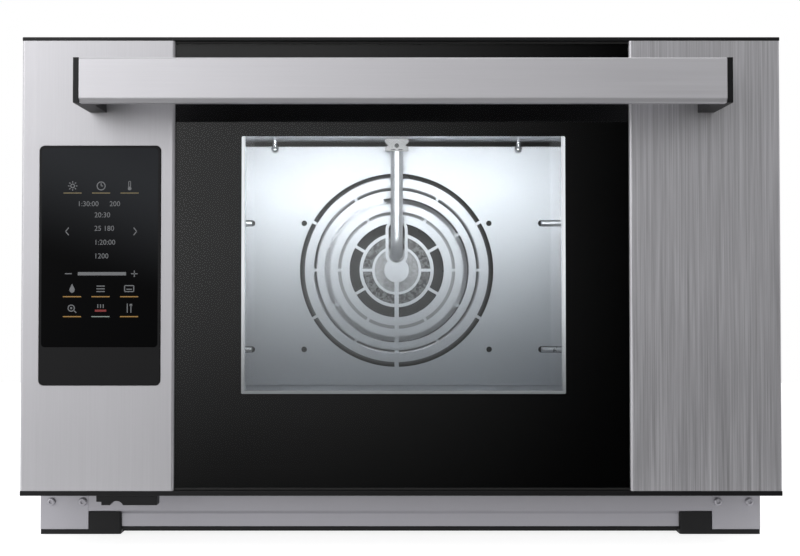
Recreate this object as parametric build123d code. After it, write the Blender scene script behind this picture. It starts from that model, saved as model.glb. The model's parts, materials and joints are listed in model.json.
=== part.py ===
from build123d import *
import math
import os

# Counter-top convection oven with a drop-down door. Millimetres. X points right, the front faces -Y, Z is up.
# The origin is under the middle of the whole oven, on the surface that it stands on.

# Overall size
width = 600.0
depth = 669.0
height = 404.0
base_height = 40.0
handle_projection = 50.0
rear_projection = 20.0

# Sheet metal and clearances
casing_sheet = 1.2
liner_sheet = 1.5
seat_gap = 0.3
flange_width = 12.0

# Spaces between the casing and the cavity
side_air = 26.0
bottom_air = 19.0
top_air = 3.0
rear_compartment = 64.5
insulation = 28.0
insulation_top = 22.0

# Door
door_thickness = 45.0
door_gap = 4.0
door_lift = 1.7
top_trim = 3.0
bottom_trim = 4.0
left_panel_width = 121.0
right_panel_width = 119.5
panel_proud = 2.5
panel_edge_radius = 2.0
outer_glass_thickness = 5.0
inner_glass_thickness = 4.0
enamel_thickness = 0.4
glass_overlap = 8.0
mullion_width = 22.0
window_margin_left = 60.0
window_margin_right = 57.5
window_height = 205.0
window_sill = 75.4
window_corner_radius = 1.0
window_rebate = 18.0
pane_margin_side = 20.0
pane_margin_top = 9.0
pane_margin_bottom = 18.0
pane_corner_radius = 6.0
pane_clip_size = 12.0
pane_clip_inset = 50.0
light_frame_width = 10.0
light_frame_depth = 8.0
light_frame_showing = 2.0

# Handle
handle_inset_left = 54.0
handle_inset_right = 52.2
handle_height = 34.0
handle_drop = 23.1
handle_thickness = 9.0
handle_bevel = 2.0
handle_cap = 4.0
handle_arm = 13.0
handle_arm_fillet = 8.0
handle_screw_radius = 2.5
handle_screw_depth = 18.0
handle_screw_pitch = 18.0

# Control panel
control_inset = 14.4
control_width = 95.8
control_height = 189.0
control_drop = 83.5
control_corner_radius = 4.0
control_proud = 0.8
control_depth = 20.0
control_wall = 2.0
control_flange = 2.4
service_strip = 28.0
touch_thickness = 1.5
display_margin = 14.0
display_height = 76.0

# Cable guide under the door
guide_inset = 60.0
guide_width = 48.0
guide_height = 7.5
guide_depth = 10.0
guide_notch_radius = 5.5

# Door hinge
hinge_pin_radius = 4.0
hinge_back_offset = 5.0
hinge_rise = 6.0
hinge_running = 0.05
hinge_inset = 29.5
hinge_ear = 4.0
hinge_arm_sheet = 3.0
hinge_side_gap = 0.5
hinge_eye_wall = 2.2
hinge_arm_gap = 3.5
hinge_arm_depth = 18.0
hinge_foot_width = 14.0
hinge_foot_length = 37.0
hinge_foot_rise = 16.0
spring_wire = 2.2
spring_radius = 6.2
spring_turns = 14

# Base
base_setback = 10.0
corner_plate_width = 40.0
foot_pad_height = 4.0
foot_block_width = 27.0
foot_block_height = 18.5
foot_length = 40.0
rail_bend_z = 19.5
rail_step = 3.0
rail_lower_z = 6.0
base_rear_gap = 14.0

# Door gasket
gasket_width = 9.0
gasket_inset = 3.0
gasket_corner_radius = 14.0

# Fan guard
guard_depth = 62.0
guard_side_gap = 7.0
guard_top_gap = 5.5
guard_flange = 18.0
fan_drop = 8.0
guard_hole_x = 108.5
guard_hole_radius = 3.3
hook_x = 142.6
hook_radius = 3.0
hook_ball_radius = 4.6
hook_overlap = 4.3

# Ring slots of the guard as inner and outer radii, with the angles of the webs that bridge them
web_width = 3.4
low_web_width = 5.0
ring_slots = [
    (14.4, 25.8, (270,)),
    (28.8, 39.8, (0, 180, 270)),
    (43.6, 55.4, (30, 90, 150, 210, 270, 330)),
    (65.0, 69.0, (0, 60, 120, 180, 240, 300)),
    (78.0, 84.8, (30, 90, 150, 210, 270, 330)),
    (93.5, 97.4, (0, 60, 120, 180, 240, 300)),
    (107.8, 113.6, (30, 90, 150, 210, 270, 330)),
]

# Water tube and hose
tube_radius = 7.0
tube_wall = 1.2
tube_standoff = 10.0
tube_bend = 19.0
tube_rise = 18.0
passage_clearance = 2.5
passage_web = 3.5
passage_rise = 57.0
clamp_width = 27.0
clamp_height = 14.0
hose_radius = 4.0
hose_bend = 20.0
hose_rise = 15.0
hose_standoff = 22.0
barb_length = 10.0

# Racks
tray_count = 3
lowest_tray = 42.0
highest_tray = 96.0
rack_wire = 3.0
rack_post = 3.5
rack_wall_gap = 4.5
rack_reach = 16.0
rack_front_gap = 29.0
rack_rear_gap = 27.0
rack_foot = 28.0
rack_head = 42.0
rack_hook_end = 169.7
hook_slot_clearance = 0.7
stud_radius = 3.0
stud_head_radius = 5.5
stud_inset = 45.0

# Fan, heating element and probe
fan_radius = 78.0
fan_depth = 34.0
fan_back_gap = 11.0
fan_sheet = 1.5
fan_ring_width = 16.0
fan_blades = 12
blade_inner = 56.0
blade_angle = 22.0
hub_wall = 7.0
shaft_radius = 5.0
shaft_running = 0.05
shaft_hole_gap = 3.0
nut_length = 8.0
nut_wall = 3.0
element_radius = 3.75
element_gap_to_fan = 7.25
element_pitch = 11.0
element_half_turns = 4
element_bend = 12.0
element_tail = 6.0
probe_x = 118.0
probe_rise = 75.0
probe_radius = 3.0
probe_reach = 22.0
probe_nut_radius = 6.5

# Motor
bulkhead_gap = 0.5
motor_radius = 42.0
motor_rear_gap = 10.5
motor_flange_overhang = 8.0
motor_flange = 4.0
motor_fins = 5
motor_fin_pitch = 7.0
motor_fin_depth = 3.0
motor_cap = 9.0

# Rear compartment
cooling_inset = 101.6
cooling_drop = 103.0
cooling_size = 80.0
cooling_depth = 25.0
cooling_wall = 2.0
cooling_blades = 7
cooling_hub = 14.0
cooling_axle = 2.0
cooling_arm = 4.0
cooling_tip_gap = 1.2
cooling_running = 0.1
vent_inset = 92.0
vent_drop = 31.0
vent_radius = 14.0
vent_wall = 1.2
valve_inset = 45.6
valve_rise = 51.0
valve_thread_radius = 13.2
valve_thread_length = 15.0
valve_shoulder = 1.5
neck_showing = 1.0
valve_outlet = 40.0
valve_hexagon = 12.0
gland_inset = 62.6
gland_rise = 35.0
gland_radius = 11.0
gland_thread_radius = 8.8
gland_bore = 6.5
board_inset = 13.6
board_width = 158.0
board_rise = 67.0
board_height = 206.0
board_sheet = 1.6
board_spacer = 8.0
relay_count = 4
relay_size = 24.0
sink_fins = 6
component_height = 26.0
capacitor_radius = 9.0
terminal_width = 70.0
terminal_height = 26.0
terminal_depth = 32.0
slot_length = 34.0
slot_height = 4.0
slot_pitch = 10.0
lid_lip = 20.0
screw_head_radius = 3.4
screw_head_height = 2.2

# Planes and places worked out from the sizes above
half = width / 2
handle_y = -depth / 2
door_y = handle_y + handle_projection
door_back_y = door_y + door_thickness
glass_y = door_y + panel_proud
glass_back_y = glass_y + outer_glass_thickness
enamel_back_y = glass_back_y + enamel_thickness
panel_back_y = door_y + casing_sheet
frame_y = door_y + max(panel_edge_radius, panel_proud)
rear_y = depth / 2 - rear_projection
rear_inner_y = rear_y - casing_sheet
fascia_y = door_back_y + door_gap
fascia_back_y = fascia_y + liner_sheet
base_y = door_back_y + base_setback
base_back_y = rear_y - base_rear_gap
door_bottom_z = base_height + door_lift
door_low_z = door_bottom_z + bottom_trim
door_high_z = height - top_trim
glass_left_x = -half + left_panel_width - glass_overlap
glass_right_x = half - right_panel_width + glass_overlap
window_left_x = glass_left_x + window_margin_left
window_right_x = glass_right_x - window_margin_right
window_bottom_z = door_low_z + window_sill
window_top_z = window_bottom_z + window_height
frame_half = half - casing_sheet
pane_front_y = door_back_y - inner_glass_thickness
backplate_y = pane_front_y - casing_sheet
pane_half = frame_half - pane_margin_side
pane_low_z = door_low_z + pane_margin_bottom
pane_high_z = door_high_z - pane_margin_top

control_left_x = -half + control_inset
control_right_x = control_left_x + control_width
control_top_z = door_high_z - control_drop
control_low_z = control_top_z - control_height
control_y = door_y - control_proud
touch_top_z = control_top_z - control_wall
touch_low_z = control_low_z + control_wall + service_strip

handle_left_x = -half + handle_inset_left
handle_right_x = half - handle_inset_right
handle_top_z = door_high_z - handle_drop
handle_low_z = handle_top_z - handle_height
handle_back_y = handle_y + handle_thickness
handle_screw_z = [
    (handle_low_z + handle_top_z + side * handle_screw_pitch) / 2 for side in (-1, 1)
]
handle_screw_x = (handle_left_x + handle_arm / 2, handle_right_x - handle_arm / 2)

pivot_y = door_back_y - hinge_back_offset
pivot_z = base_height + hinge_rise
eye_radius = hinge_pin_radius + hinge_running + hinge_eye_wall
ear_outer_x = half - hinge_inset
ear_inner_x = ear_outer_x - hinge_ear
arm_outer_x = ear_inner_x - hinge_side_gap
arm_inner_x = arm_outer_x - hinge_arm_sheet
notch_y = pivot_y - eye_radius - 1.2
notch_z = pivot_z + eye_radius + 1.6
hinge_arm_low_z = notch_z + 1
hinge_arm_top_z = control_low_z - control_flange - hinge_arm_gap

side_outer = half - casing_sheet
side_inner = side_outer - casing_sheet
pan_top_z = base_height + casing_sheet
cover_z = height - casing_sheet
fascia_low_z = notch_z - 1.5
insulation_half = side_inner - side_air
liner_half = insulation_half - insulation - seat_gap
cavity_half = liner_half - liner_sheet
insulation_low_z = pan_top_z + bottom_air
cavity_floor_z = insulation_low_z + insulation + seat_gap + liner_sheet
insulation_high_z = cover_z - top_air
cavity_top_z = insulation_high_z - insulation_top - seat_gap - liner_sheet
bulkhead_back_y = rear_inner_y - rear_compartment
bulkhead_y = bulkhead_back_y - liner_sheet
insulation_back_y = bulkhead_y - bulkhead_gap
liner_back_y = insulation_back_y - insulation - seat_gap
cavity_back_y = liner_back_y - liner_sheet

fan_z = (cavity_floor_z + cavity_top_z) / 2 - fan_drop
fan_back_y = cavity_back_y - fan_back_gap
fan_front_y = fan_back_y - fan_depth
nut_back_y = fan_front_y + nut_length
guard_y = cavity_back_y - guard_depth
guard_back_y = guard_y + casing_sheet
guard_half = cavity_half - guard_side_gap
guard_top_z = cavity_top_z - guard_top_gap
hook_low_z = guard_top_z - hook_overlap
tube_y = guard_y - tube_standoff - tube_radius
tube_end_z = fan_z + tube_rise
tube_tip_y = fan_front_y - 5
passage_width = 2 * (tube_radius + passage_clearance)
hose_z = cavity_top_z + hose_rise
hose_back_y = bulkhead_back_y + hose_standoff

rack_x = cavity_half - rack_wall_gap - rack_post
rack_rail_x = rack_x - rack_reach
rack_front_y = fascia_back_y + rack_front_gap
rack_rear_y = guard_y - rack_rear_gap
lowest_tray_z = cavity_floor_z + lowest_tray
tray_pitch = (cavity_top_z - highest_tray - lowest_tray_z) / (tray_count - 1)
tray_levels = [lowest_tray_z + tray_pitch * level for level in range(tray_count)]
rack_low_z = tray_levels[0] - rack_foot
rack_high_z = tray_levels[-1] + rack_head
hook_row_z = (tray_levels[0], tray_levels[-1])
hook_slot_height = 2 * (rack_wire + hook_slot_clearance)

element_inner = fan_radius + element_gap_to_fan + element_radius
element_y = (fan_front_y + fan_back_y) / 2
probe_z = fan_z + probe_rise
motor_back_y = rear_inner_y - motor_rear_gap
cooling_x = side_inner - cooling_inset
cooling_z = cover_z - cooling_drop
cooling_y = rear_inner_y - cooling_depth
vent_x = -(cavity_half - vent_inset)
vent_z = cavity_top_z - vent_drop
valve_x = side_inner - valve_inset
valve_z = pan_top_z + valve_rise
valve_top_z = valve_z + valve_outlet
neck_y = rear_y + neck_showing
vent_neck_radius = vent_radius + 2 * vent_wall
valve_neck_radius = valve_thread_radius + valve_shoulder
gland_x = -(side_inner - gland_inset)
gland_z = pan_top_z + gland_rise
board_x = -(side_inner - board_inset)
board_low_z = pan_top_z + board_rise


def block(x, y, z):
    """A box from its low and high ends along each axis."""
    size = [max(ends) - min(ends) for ends in (x, y, z)]
    middle = [sum(ends) / 2 for ends in (x, y, z)]
    return Pos(*middle) * Box(*size)


def bar_x(x, y, z, radius):
    """A round bar along X between two places."""
    return Pos(sum(x) / 2, y, z) * Rot(0, 90, 0) * Cylinder(radius, max(x) - min(x))


def bar_y(x, y, z, radius):
    """A round bar along Y between two places."""
    return Pos(x, sum(y) / 2, z) * Rot(90, 0, 0) * Cylinder(radius, max(y) - min(y))


def bar_z(x, y, z, radius):
    """A round bar along Z between two places."""
    return Pos(x, y, sum(z) / 2) * Cylinder(radius, max(z) - min(z))


def front_cut(sketch, y):
    """A sketch drawn in X and Z, made solid between two places along Y."""
    return extrude(Plane.XZ.offset(-max(y)) * sketch, max(y) - min(y))


def side_cut(sketch, x):
    """A sketch drawn in Y and Z, made solid between two places along X."""
    return extrude(Plane.YZ.offset(min(x)) * sketch, max(x) - min(x))


def top_cut(sketch, z):
    """A sketch drawn in X and Y, made solid between two heights."""
    return extrude(Plane.XY.offset(min(z)) * sketch, max(z) - min(z))


def area(*points):
    """A closed outline of straight sides."""
    return make_face(Polyline(*points, close=True))


def rounded(x, z, radius):
    """A rectangle with round corners from its low and high ends."""
    return Pos(sum(x) / 2, sum(z) / 2) * RectangleRounded(max(x) - min(x), max(z) - min(z), radius)


def swept(path, radius):
    """A round wire or tube along a path."""
    return sweep((path ^ 0) * Circle(radius), path=path)


def edges_at_y(solid, axis, y):
    """The straight edges along one axis that lie at one place along Y."""
    return solid.edges().filter_by(axis).filter_by_position(Axis.Y, y - 0.01, y + 0.01)


def mirrored(solid):
    """The same solid on the other side of the oven."""
    return mirror(solid, about=Plane.YZ)


def pair(solid):
    """A solid on the right and its mirror image on the left, as one group."""
    return Compound(children=[*solid.solids(), *mirrored(solid).solids()])


def group(solids):
    """Separate solids that share one name."""
    return Compound(children=[one for item in solids for one in item.solids()])


# Base


def foot(front):
    """A black corner foot: a thin pad under the corner plate and a taller block beside it."""
    near = base_y if front else base_back_y - foot_length
    y = (near, near + foot_length)
    inner = half - corner_plate_width
    pad = block((inner, half), y, (0, foot_pad_height))
    tall = block((inner - foot_block_width, inner), y, (0, foot_block_height))
    joined = pad + tall
    uprights = joined.edges().filter_by(Axis.Z)
    return fillet(uprights, 1.5)


def corner_plate(front):
    """The plate that closes the end of a side rail, seated on the foot's pad."""
    near = base_y if front else base_back_y - casing_sheet
    x = (half - corner_plate_width, half)
    return block(x, (near, near + casing_sheet), (foot_pad_height, base_height))


def base_side_rail():
    """A channel along the side of the base, open towards the middle."""
    y = (base_y + casing_sheet, base_back_y - casing_sheet)
    outer = block((half - corner_plate_width, half), y, (foot_pad_height, base_height))
    inner = block(
        (half - corner_plate_width - 1, half - casing_sheet),
        y,
        (foot_pad_height + casing_sheet, base_height - casing_sheet),
    )
    channel = outer - inner
    bends = channel.edges().filter_by(Axis.Y).filter_by_position(Axis.X, half - 0.01, half + 0.01)
    return fillet(bends, 0.8)


def rail_profile(outward):
    """The folded section of a front or rear rail, as Y and Z points; outward is -1 for the front."""
    face = base_y if outward < 0 else base_back_y
    step = face - outward * rail_step
    back = face - outward * (rail_step + flange_width)
    t = -outward * casing_sheet
    return [
        (face, base_height),
        (face, rail_bend_z),
        (step, rail_bend_z - rail_step),
        (step, rail_lower_z),
        (back, rail_lower_z),
        (back, rail_lower_z + casing_sheet),
        (step + t, rail_lower_z + casing_sheet),
        (step + t, rail_bend_z - rail_step + casing_sheet / 2),
        (face + t, rail_bend_z + casing_sheet / 2),
        (face + t, base_height - casing_sheet),
        (back, base_height - casing_sheet),
        (back, base_height),
    ]


def base_end_rail(outward):
    """The front or rear rail between the corner plates, notched over the feet."""
    reach = half - corner_plate_width
    rail = side_cut(area(*rail_profile(outward)), (-reach, reach))
    face = base_y if outward < 0 else base_back_y
    for side in (-1, 1):
        rail -= block(
            (side * (reach - foot_block_width - seat_gap), side * (reach + 1)),
            (face - foot_length, face + foot_length),
            (0, foot_block_height + seat_gap),
        )
    return rail


# Casing


def bottom_pan():
    """The bottom of the body, with an upstand behind the fascia and air slots at the back."""
    front = base_y + casing_sheet
    plate = block((-side_inner, side_inner), (front, rear_inner_y), (base_height, pan_top_z))
    plate += block(
        (-side_inner + flange_width, side_inner - flange_width),
        (front, front + casing_sheet),
        (base_height, (fascia_low_z + insulation_low_z) / 2),
    )
    for side in (-1, 1):
        plate -= block(
            (side * (ear_inner_x - 1), side * (ear_outer_x + 1)),
            (front - 1, front + casing_sheet + 1),
            (pan_top_z, insulation_low_z),
        )
    for column in range(-3, 4):
        place = Pos(column * 3 * slot_pitch, (bulkhead_back_y + rear_inner_y) / 2)
        plate -= top_cut(place * SlotOverall(slot_length, slot_height, rotation=90), (base_height, pan_top_z))
    return plate


def side_panel():
    """The right side of the casing, folded in at the front, with louvre slots by the rear compartment."""
    y = (fascia_back_y, rear_inner_y)
    z = (base_height, cover_z)
    sheet = block((side_inner, side_outer), y, z)
    sheet += block(
        (side_inner - flange_width, side_inner),
        (y[0], y[0] + casing_sheet),
        (insulation_low_z, cover_z),
    )
    middle_y = (bulkhead_back_y + rear_inner_y) / 2
    for row in range(9):
        z_slot = fan_z - 4 * slot_pitch + row * slot_pitch
        slot = Pos(middle_y, z_slot) * SlotOverall(slot_length, slot_height)
        sheet -= side_cut(slot, (side_inner - 1, side_outer + 1))
    return sheet


def top_cover():
    """The lid, with side lips folded down outside the side panels."""
    y = (fascia_y, rear_y)
    lid = block((-half, half), y, (cover_z, height))
    for side in (-1, 1):
        lid += block((side * side_outer, side * half), y, (cover_z - lid_lip, height))
    lid += block(
        (-side_inner + flange_width, side_inner - flange_width),
        (rear_inner_y - casing_sheet, rear_inner_y),
        (cover_z - flange_width, cover_z),
    )
    bends = lid.edges().filter_by(Axis.Y).filter_by_position(Axis.Z, height - 0.01, height + 0.01)
    return fillet(bends, 1.0)


def rear_slots():
    """Places of the air slots in the rear panel."""
    middle = cavity_top_z - 4 * slot_pitch
    return [
        (column * 1.7 * slot_length, middle + row * slot_pitch)
        for column in (-1, 0, 1)
        for row in range(-2, 3)
    ]


def cooling_grille():
    """The slotted face in front of the cooling fan, as a sketch."""
    reach = cooling_size / 2 - 4
    face = Sketch()
    ring = slot_pitch
    while ring < reach:
        face += Circle(ring + slot_height / 2) - Circle(ring - slot_height / 2)
        ring += 2 * slot_height
    face -= Rectangle(2 * reach, web_width)
    face -= Rectangle(web_width, 2 * reach)
    return Pos(cooling_x, cooling_z) * face


def rear_panel():
    """The back of the casing, with its slots, fan grille and holes for the fittings."""
    x = (-side_inner + seat_gap, side_inner - seat_gap)
    sheet = block(x, (rear_inner_y, rear_y), (base_height, cover_z - seat_gap))
    cuts = Sketch()
    for x_slot, z_slot in rear_slots():
        cuts += Pos(x_slot, z_slot) * SlotOverall(slot_length, slot_height)
    cuts += cooling_grille()
    cuts += Pos(vent_x, vent_z) * Circle(vent_neck_radius + seat_gap)
    cuts += Pos(valve_x, valve_z) * Circle(valve_neck_radius + seat_gap)
    cuts += Pos(gland_x, gland_z) * Circle(gland_thread_radius + seat_gap)
    return sheet - front_cut(cuts, (rear_inner_y - 1, rear_y + 1))


def front_fascia():
    """The plate round the cavity's mouth, which the door closes on."""
    plate = block((-side_outer, side_outer), (fascia_y, fascia_back_y), (fascia_low_z, cover_z))
    return plate - block(
        (-cavity_half, cavity_half),
        (fascia_y - 1, fascia_back_y + 1),
        (cavity_floor_z, cavity_top_z),
    )


def screw(x, y, z, turn):
    """A button-head screw whose head rises along -Y before it is turned."""
    head = Cylinder(screw_head_radius, screw_head_height, align=(Align.CENTER, Align.CENTER, Align.MIN))
    rim = head.edges().sort_by(Axis.Z)[-1]
    head = fillet(rim, screw_head_height * 0.6)
    head -= Pos(0, 0, screw_head_height / 2) * extrude(RegularPolygon(1.6, 6), screw_head_height)
    return Pos(x, y, z) * turn * head


def body_screws():
    """The button-head screws that show on the base's corner plates and the rear panel."""
    forward = Rot(90, 0, 0)
    backward = Rot(-90, 0, 0)
    screws = []
    for side in (-1, 1):
        for inset in (corner_plate_width * 0.23, corner_plate_width * 0.885):
            screws.append(screw(side * (half - inset), base_y, base_height - 13, forward))
            screws.append(screw(side * (half - inset), base_back_y, base_height - 13, backward))
        for z in (base_height + 2 * flange_width, (base_height + height) / 2, height - 3 * flange_width):
            screws.append(screw(side * (side_inner - flange_width), rear_y, z, backward))
        for z in (base_height + flange_width, cover_z - flange_width / 2):
            screws.append(screw(side * half / 3, rear_y, z, backward))
    return group(screws)


# Cavity


def element_terminals():
    """X and Z of the heating element's two ends at the cavity's back wall."""
    top = fan_z + element_inner
    return [(-element_bend, top), (element_bend, top + element_half_turns * element_pitch / 2)]


def wall_holes(margin):
    """Holes through the cavity's back wall and what lies behind it, as a sketch."""
    holes = Pos(0, fan_z) * Circle(shaft_radius + shaft_hole_gap + margin)
    holes += Pos(vent_x, vent_z) * Circle(vent_radius + margin)
    holes += Pos(probe_x, probe_z) * Circle(probe_radius + margin)
    for x, z in element_terminals():
        holes += Pos(x, z) * Circle(element_radius + margin)
    return holes


def cavity_liner():
    """The steel box that is cooked in, open at the front."""
    y = (fascia_back_y, liner_back_y)
    outer = block((-liner_half, liner_half), y, (cavity_floor_z - liner_sheet, cavity_top_z + liner_sheet))
    inner = block((-cavity_half, cavity_half), (y[0] - 1, cavity_back_y), (cavity_floor_z, cavity_top_z))
    box = outer - inner
    box -= front_cut(wall_holes(seat_gap), (cavity_back_y - 1, liner_back_y + 1))
    box -= bar_z(0, tube_y, (cavity_top_z - 1, cavity_top_z + liner_sheet + 1), tube_radius + seat_gap)
    return box


def insulation_wrap():
    """Mineral wool round the liner, with the channel for the water hose."""
    gap = seat_gap
    y = (fascia_back_y + casing_sheet + gap, insulation_back_y)
    wool = block((-insulation_half, insulation_half), y, (insulation_low_z, insulation_high_z))
    wool -= block(
        (-liner_half - gap, liner_half + gap),
        (y[0] - 1, liner_back_y + gap),
        (cavity_floor_z - liner_sheet - gap, cavity_top_z + liner_sheet + gap),
    )
    wool -= front_cut(wall_holes(1.5), (liner_back_y - 1, insulation_back_y + 1))
    channel = hose_radius + 5
    return wool - block(
        (-channel, channel),
        (tube_y - tube_radius - 3, insulation_back_y + 1),
        (cavity_top_z, height),
    )


def door_gasket():
    """The rubber seal round the mouth, just clear of the inner door glass."""
    y = (door_back_y + seat_gap, fascia_y)
    inner_x = cavity_half + gasket_inset
    low = cavity_floor_z - gasket_inset
    high = cavity_top_z + gasket_inset
    w = gasket_width
    outer = rounded((-inner_x - w, inner_x + w), (low - w, high + w), gasket_corner_radius)
    inner = rounded((-inner_x, inner_x), (low, high), gasket_corner_radius - w / 2)
    ring = front_cut(outer - inner, y)
    lips = ring.faces().sort_by(Axis.Y)[0].edges()
    return fillet(lips, 1.6)


def ring_slot(inner, outer, webs):
    """One ring of slots, cut through where its webs cross it."""
    ring = Circle(outer) - Circle(inner)
    reach = outer + 2
    for angle in webs:
        bridge = low_web_width if angle == 270 else web_width
        ring -= Rot(0, 0, angle) * Pos(reach / 2, 0) * Rectangle(reach, bridge)
    ring -= Pos(0, -reach / 2) * Rectangle(low_web_width, reach)
    return ring


def tube_passage(grow):
    """The upright slot where the water tube turns back through the guard, as a sketch at the fan's centre."""
    low = tube_rise - passage_width / 2 - grow
    high = passage_rise + grow
    wide = passage_width + 2 * grow
    return Pos(0, (low + high) / 2) * SlotOverall(high - low, wide, rotation=90)


def fan_guard():
    """The panel before the fan: ring slots, four holes and side slots for the racks, with folded edges."""
    z = (cavity_floor_z, guard_top_z)
    sheet = block((-guard_half, guard_half), (guard_y, guard_back_y), z)
    edge_y = (guard_y, guard_y + guard_flange)
    for side in (-1, 1):
        sheet += block((side * (guard_half - casing_sheet), side * guard_half), edge_y, z)
    x = (-guard_half, guard_half)
    sheet += block(x, edge_y, (z[0], z[0] + casing_sheet))
    sheet += block(x, (guard_y, guard_y + flange_width / 2), (z[1] - casing_sheet, z[1]))
    bends = sheet.edges().filter_by_position(Axis.Y, guard_y - 0.01, guard_y + 0.01)
    sheet = fillet(bends, casing_sheet * 0.9)
    cuts = Sketch()
    for inner, outer, webs in ring_slots:
        ring = ring_slot(inner, outer, webs)
        if inner < passage_rise:
            ring -= tube_passage(passage_web)
        cuts += ring
    cuts += tube_passage(0)
    cuts = Pos(0, fan_z) * cuts
    slot_outer_x = guard_half - 2 * casing_sheet
    for side in (-1, 1):
        for z_row in hook_row_z:
            cuts += Pos(side * guard_hole_x, z_row) * Circle(guard_hole_radius)
            inner_x = rack_hook_end - hook_slot_height / 2
            middle = (inner_x + slot_outer_x) / 2
            cuts += Pos(side * middle, z_row) * SlotOverall(slot_outer_x - inner_x, hook_slot_height)
    return sheet - front_cut(cuts, (guard_y - 1, guard_back_y + 1))


def guard_hook():
    """A round hook that hangs from the ceiling and keeps the guard's top edge back."""
    y = guard_y - seat_gap - hook_ball_radius
    stem = bar_z(hook_x, y, (hook_low_z, cavity_top_z), hook_radius)
    ball = Pos(hook_x, y, hook_low_z) * Sphere(hook_ball_radius)
    return stem + ball


def water_tube():
    """The steel tube that comes down from the ceiling and turns back into the middle of the fan."""
    top = (0, tube_y, hose_z + tube_radius)
    corner = (0, tube_y, tube_end_z)
    tip = (0, tube_tip_y, tube_end_z)
    path = FilletPolyline(top, corner, tip, radius=tube_bend)
    tube = swept(path, tube_radius)
    bore_length = 2 * tube_radius
    mouth = bar_y(0, (tube_tip_y - bore_length, tube_tip_y), tube_end_z, tube_radius - tube_wall)
    barb = bar_y(0, (tube_y, tube_y + tube_radius + barb_length), hose_z, hose_radius)
    return tube - mouth + barb


def tube_clamp():
    """The pinched plate that holds the tube's top to the ceiling."""
    y = (tube_y - tube_radius - seat_gap - liner_sheet, tube_y - tube_radius - seat_gap)
    z_low = cavity_top_z - clamp_height
    w = clamp_width / 2
    pinch = w * 0.72
    outline = area(
        (-w, z_low),
        (-w, z_low + clamp_height * 0.3),
        (-pinch, z_low + clamp_height * 0.5),
        (-w, z_low + clamp_height * 0.7),
        (-w, cavity_top_z),
        (w, cavity_top_z),
        (w, z_low + clamp_height * 0.7),
        (pinch, z_low + clamp_height * 0.5),
        (w, z_low + clamp_height * 0.3),
        (w, z_low),
    )
    plate = front_cut(outline, y)
    plate -= bar_y(0, (y[0] - 1, y[1] + 1), z_low + clamp_height / 2, 1.6)
    ears = block((-w, w), (y[0], tube_y + tube_radius + 4), (cavity_top_z - liner_sheet, cavity_top_z))
    ears -= bar_z(0, tube_y, (cavity_top_z - 5, cavity_top_z + 1), tube_radius + seat_gap)
    return plate + ears


def side_rack():
    """The right rack: two posts, a wire rail for each tray, and hooks into the guard's slots."""
    r = rack_wire
    hook_y = guard_y + casing_sheet / 2
    post_line = FilletPolyline(
        (rack_x, rack_front_y, rack_low_z),
        (rack_x, rack_front_y, rack_high_z),
        (rack_x, rack_rear_y, rack_high_z),
        (rack_x, rack_rear_y, rack_low_z),
        radius=2.5 * rack_post,
    )
    rack = swept(post_line, rack_post)
    for z in tray_levels:
        points = [(rack_x, rack_front_y, z), (rack_rail_x, rack_front_y, z)]
        if z in hook_row_z:
            points += [(rack_rail_x, hook_y, z), (rack_hook_end, hook_y, z)]
            rack += bar_x((rack_rail_x, rack_x), rack_rear_y, z, r * 0.9)
        else:
            points += [(rack_rail_x, rack_rear_y, z), (rack_x, rack_rear_y, z)]
        rack += swept(FilletPolyline(*points, radius=2.5 * r), r)
    return rack


def rack_studs():
    """Headed studs on the cavity's side walls that carry the racks' top wires."""
    head_x = rack_x - rack_post - 3
    z = rack_high_z - rack_post - stud_radius
    one_side = Part()
    for y in (rack_front_y + stud_inset, rack_rear_y - stud_inset):
        one_side += bar_x((head_x, cavity_half), y, z, stud_radius)
        one_side += bar_x((head_x, head_x + 2), y, z, stud_head_radius)
    return pair(one_side)


# Fan, element and motor


def fan_shaft():
    """The motor's shaft, from the fan's nut to inside the motor."""
    return bar_y(0, (fan_front_y + nut_length / 3, motor_back_y - motor_cap), fan_z, shaft_radius)


def fan_wheel():
    """The fan: a back plate, a hub, straight blades and a front ring."""
    plate = bar_y(0, (fan_back_y - fan_sheet, fan_back_y), fan_z, fan_radius)
    hub = bar_y(0, (nut_back_y, fan_back_y), fan_z, shaft_radius + hub_wall)
    ring = bar_y(0, (fan_front_y, fan_front_y + fan_sheet), fan_z, fan_radius)
    ring -= bar_y(0, (fan_front_y - 1, fan_front_y + fan_sheet + 1), fan_z, fan_radius - fan_ring_width)
    wheel = plate + hub + ring
    limit = bar_y(0, (fan_front_y, fan_back_y), fan_z, fan_radius)
    blade = block(
        (blade_inner, fan_radius),
        (fan_front_y, fan_back_y - fan_sheet / 2),
        (-fan_sheet / 2, fan_sheet / 2),
    )
    pitched = Pos(blade_inner, 0, 0) * Rot(0, blade_angle, 0) * Pos(-blade_inner, 0, 0) * blade
    for index in range(fan_blades):
        turn = Pos(0, 0, fan_z) * Rot(0, index * 360 / fan_blades, 0)
        wheel += (turn * pitched) & limit
    return wheel - bar_y(0, (fan_front_y - 1, fan_back_y + 1), fan_z, shaft_radius)


def fan_nut():
    """The domed nut on the shaft's end."""
    nut_radius = shaft_radius + nut_wall
    shoulder_y = fan_front_y + nut_length / 4
    flat = front_cut(Pos(0, fan_z) * RegularPolygon(nut_radius, 6), (shoulder_y, nut_back_y))
    dome = bar_y(0, (fan_front_y, shoulder_y), fan_z, nut_radius * 0.78)
    return flat + dome - bar_y(0, (fan_front_y + nut_length / 3, nut_back_y + 1), fan_z, shaft_radius)


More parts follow.
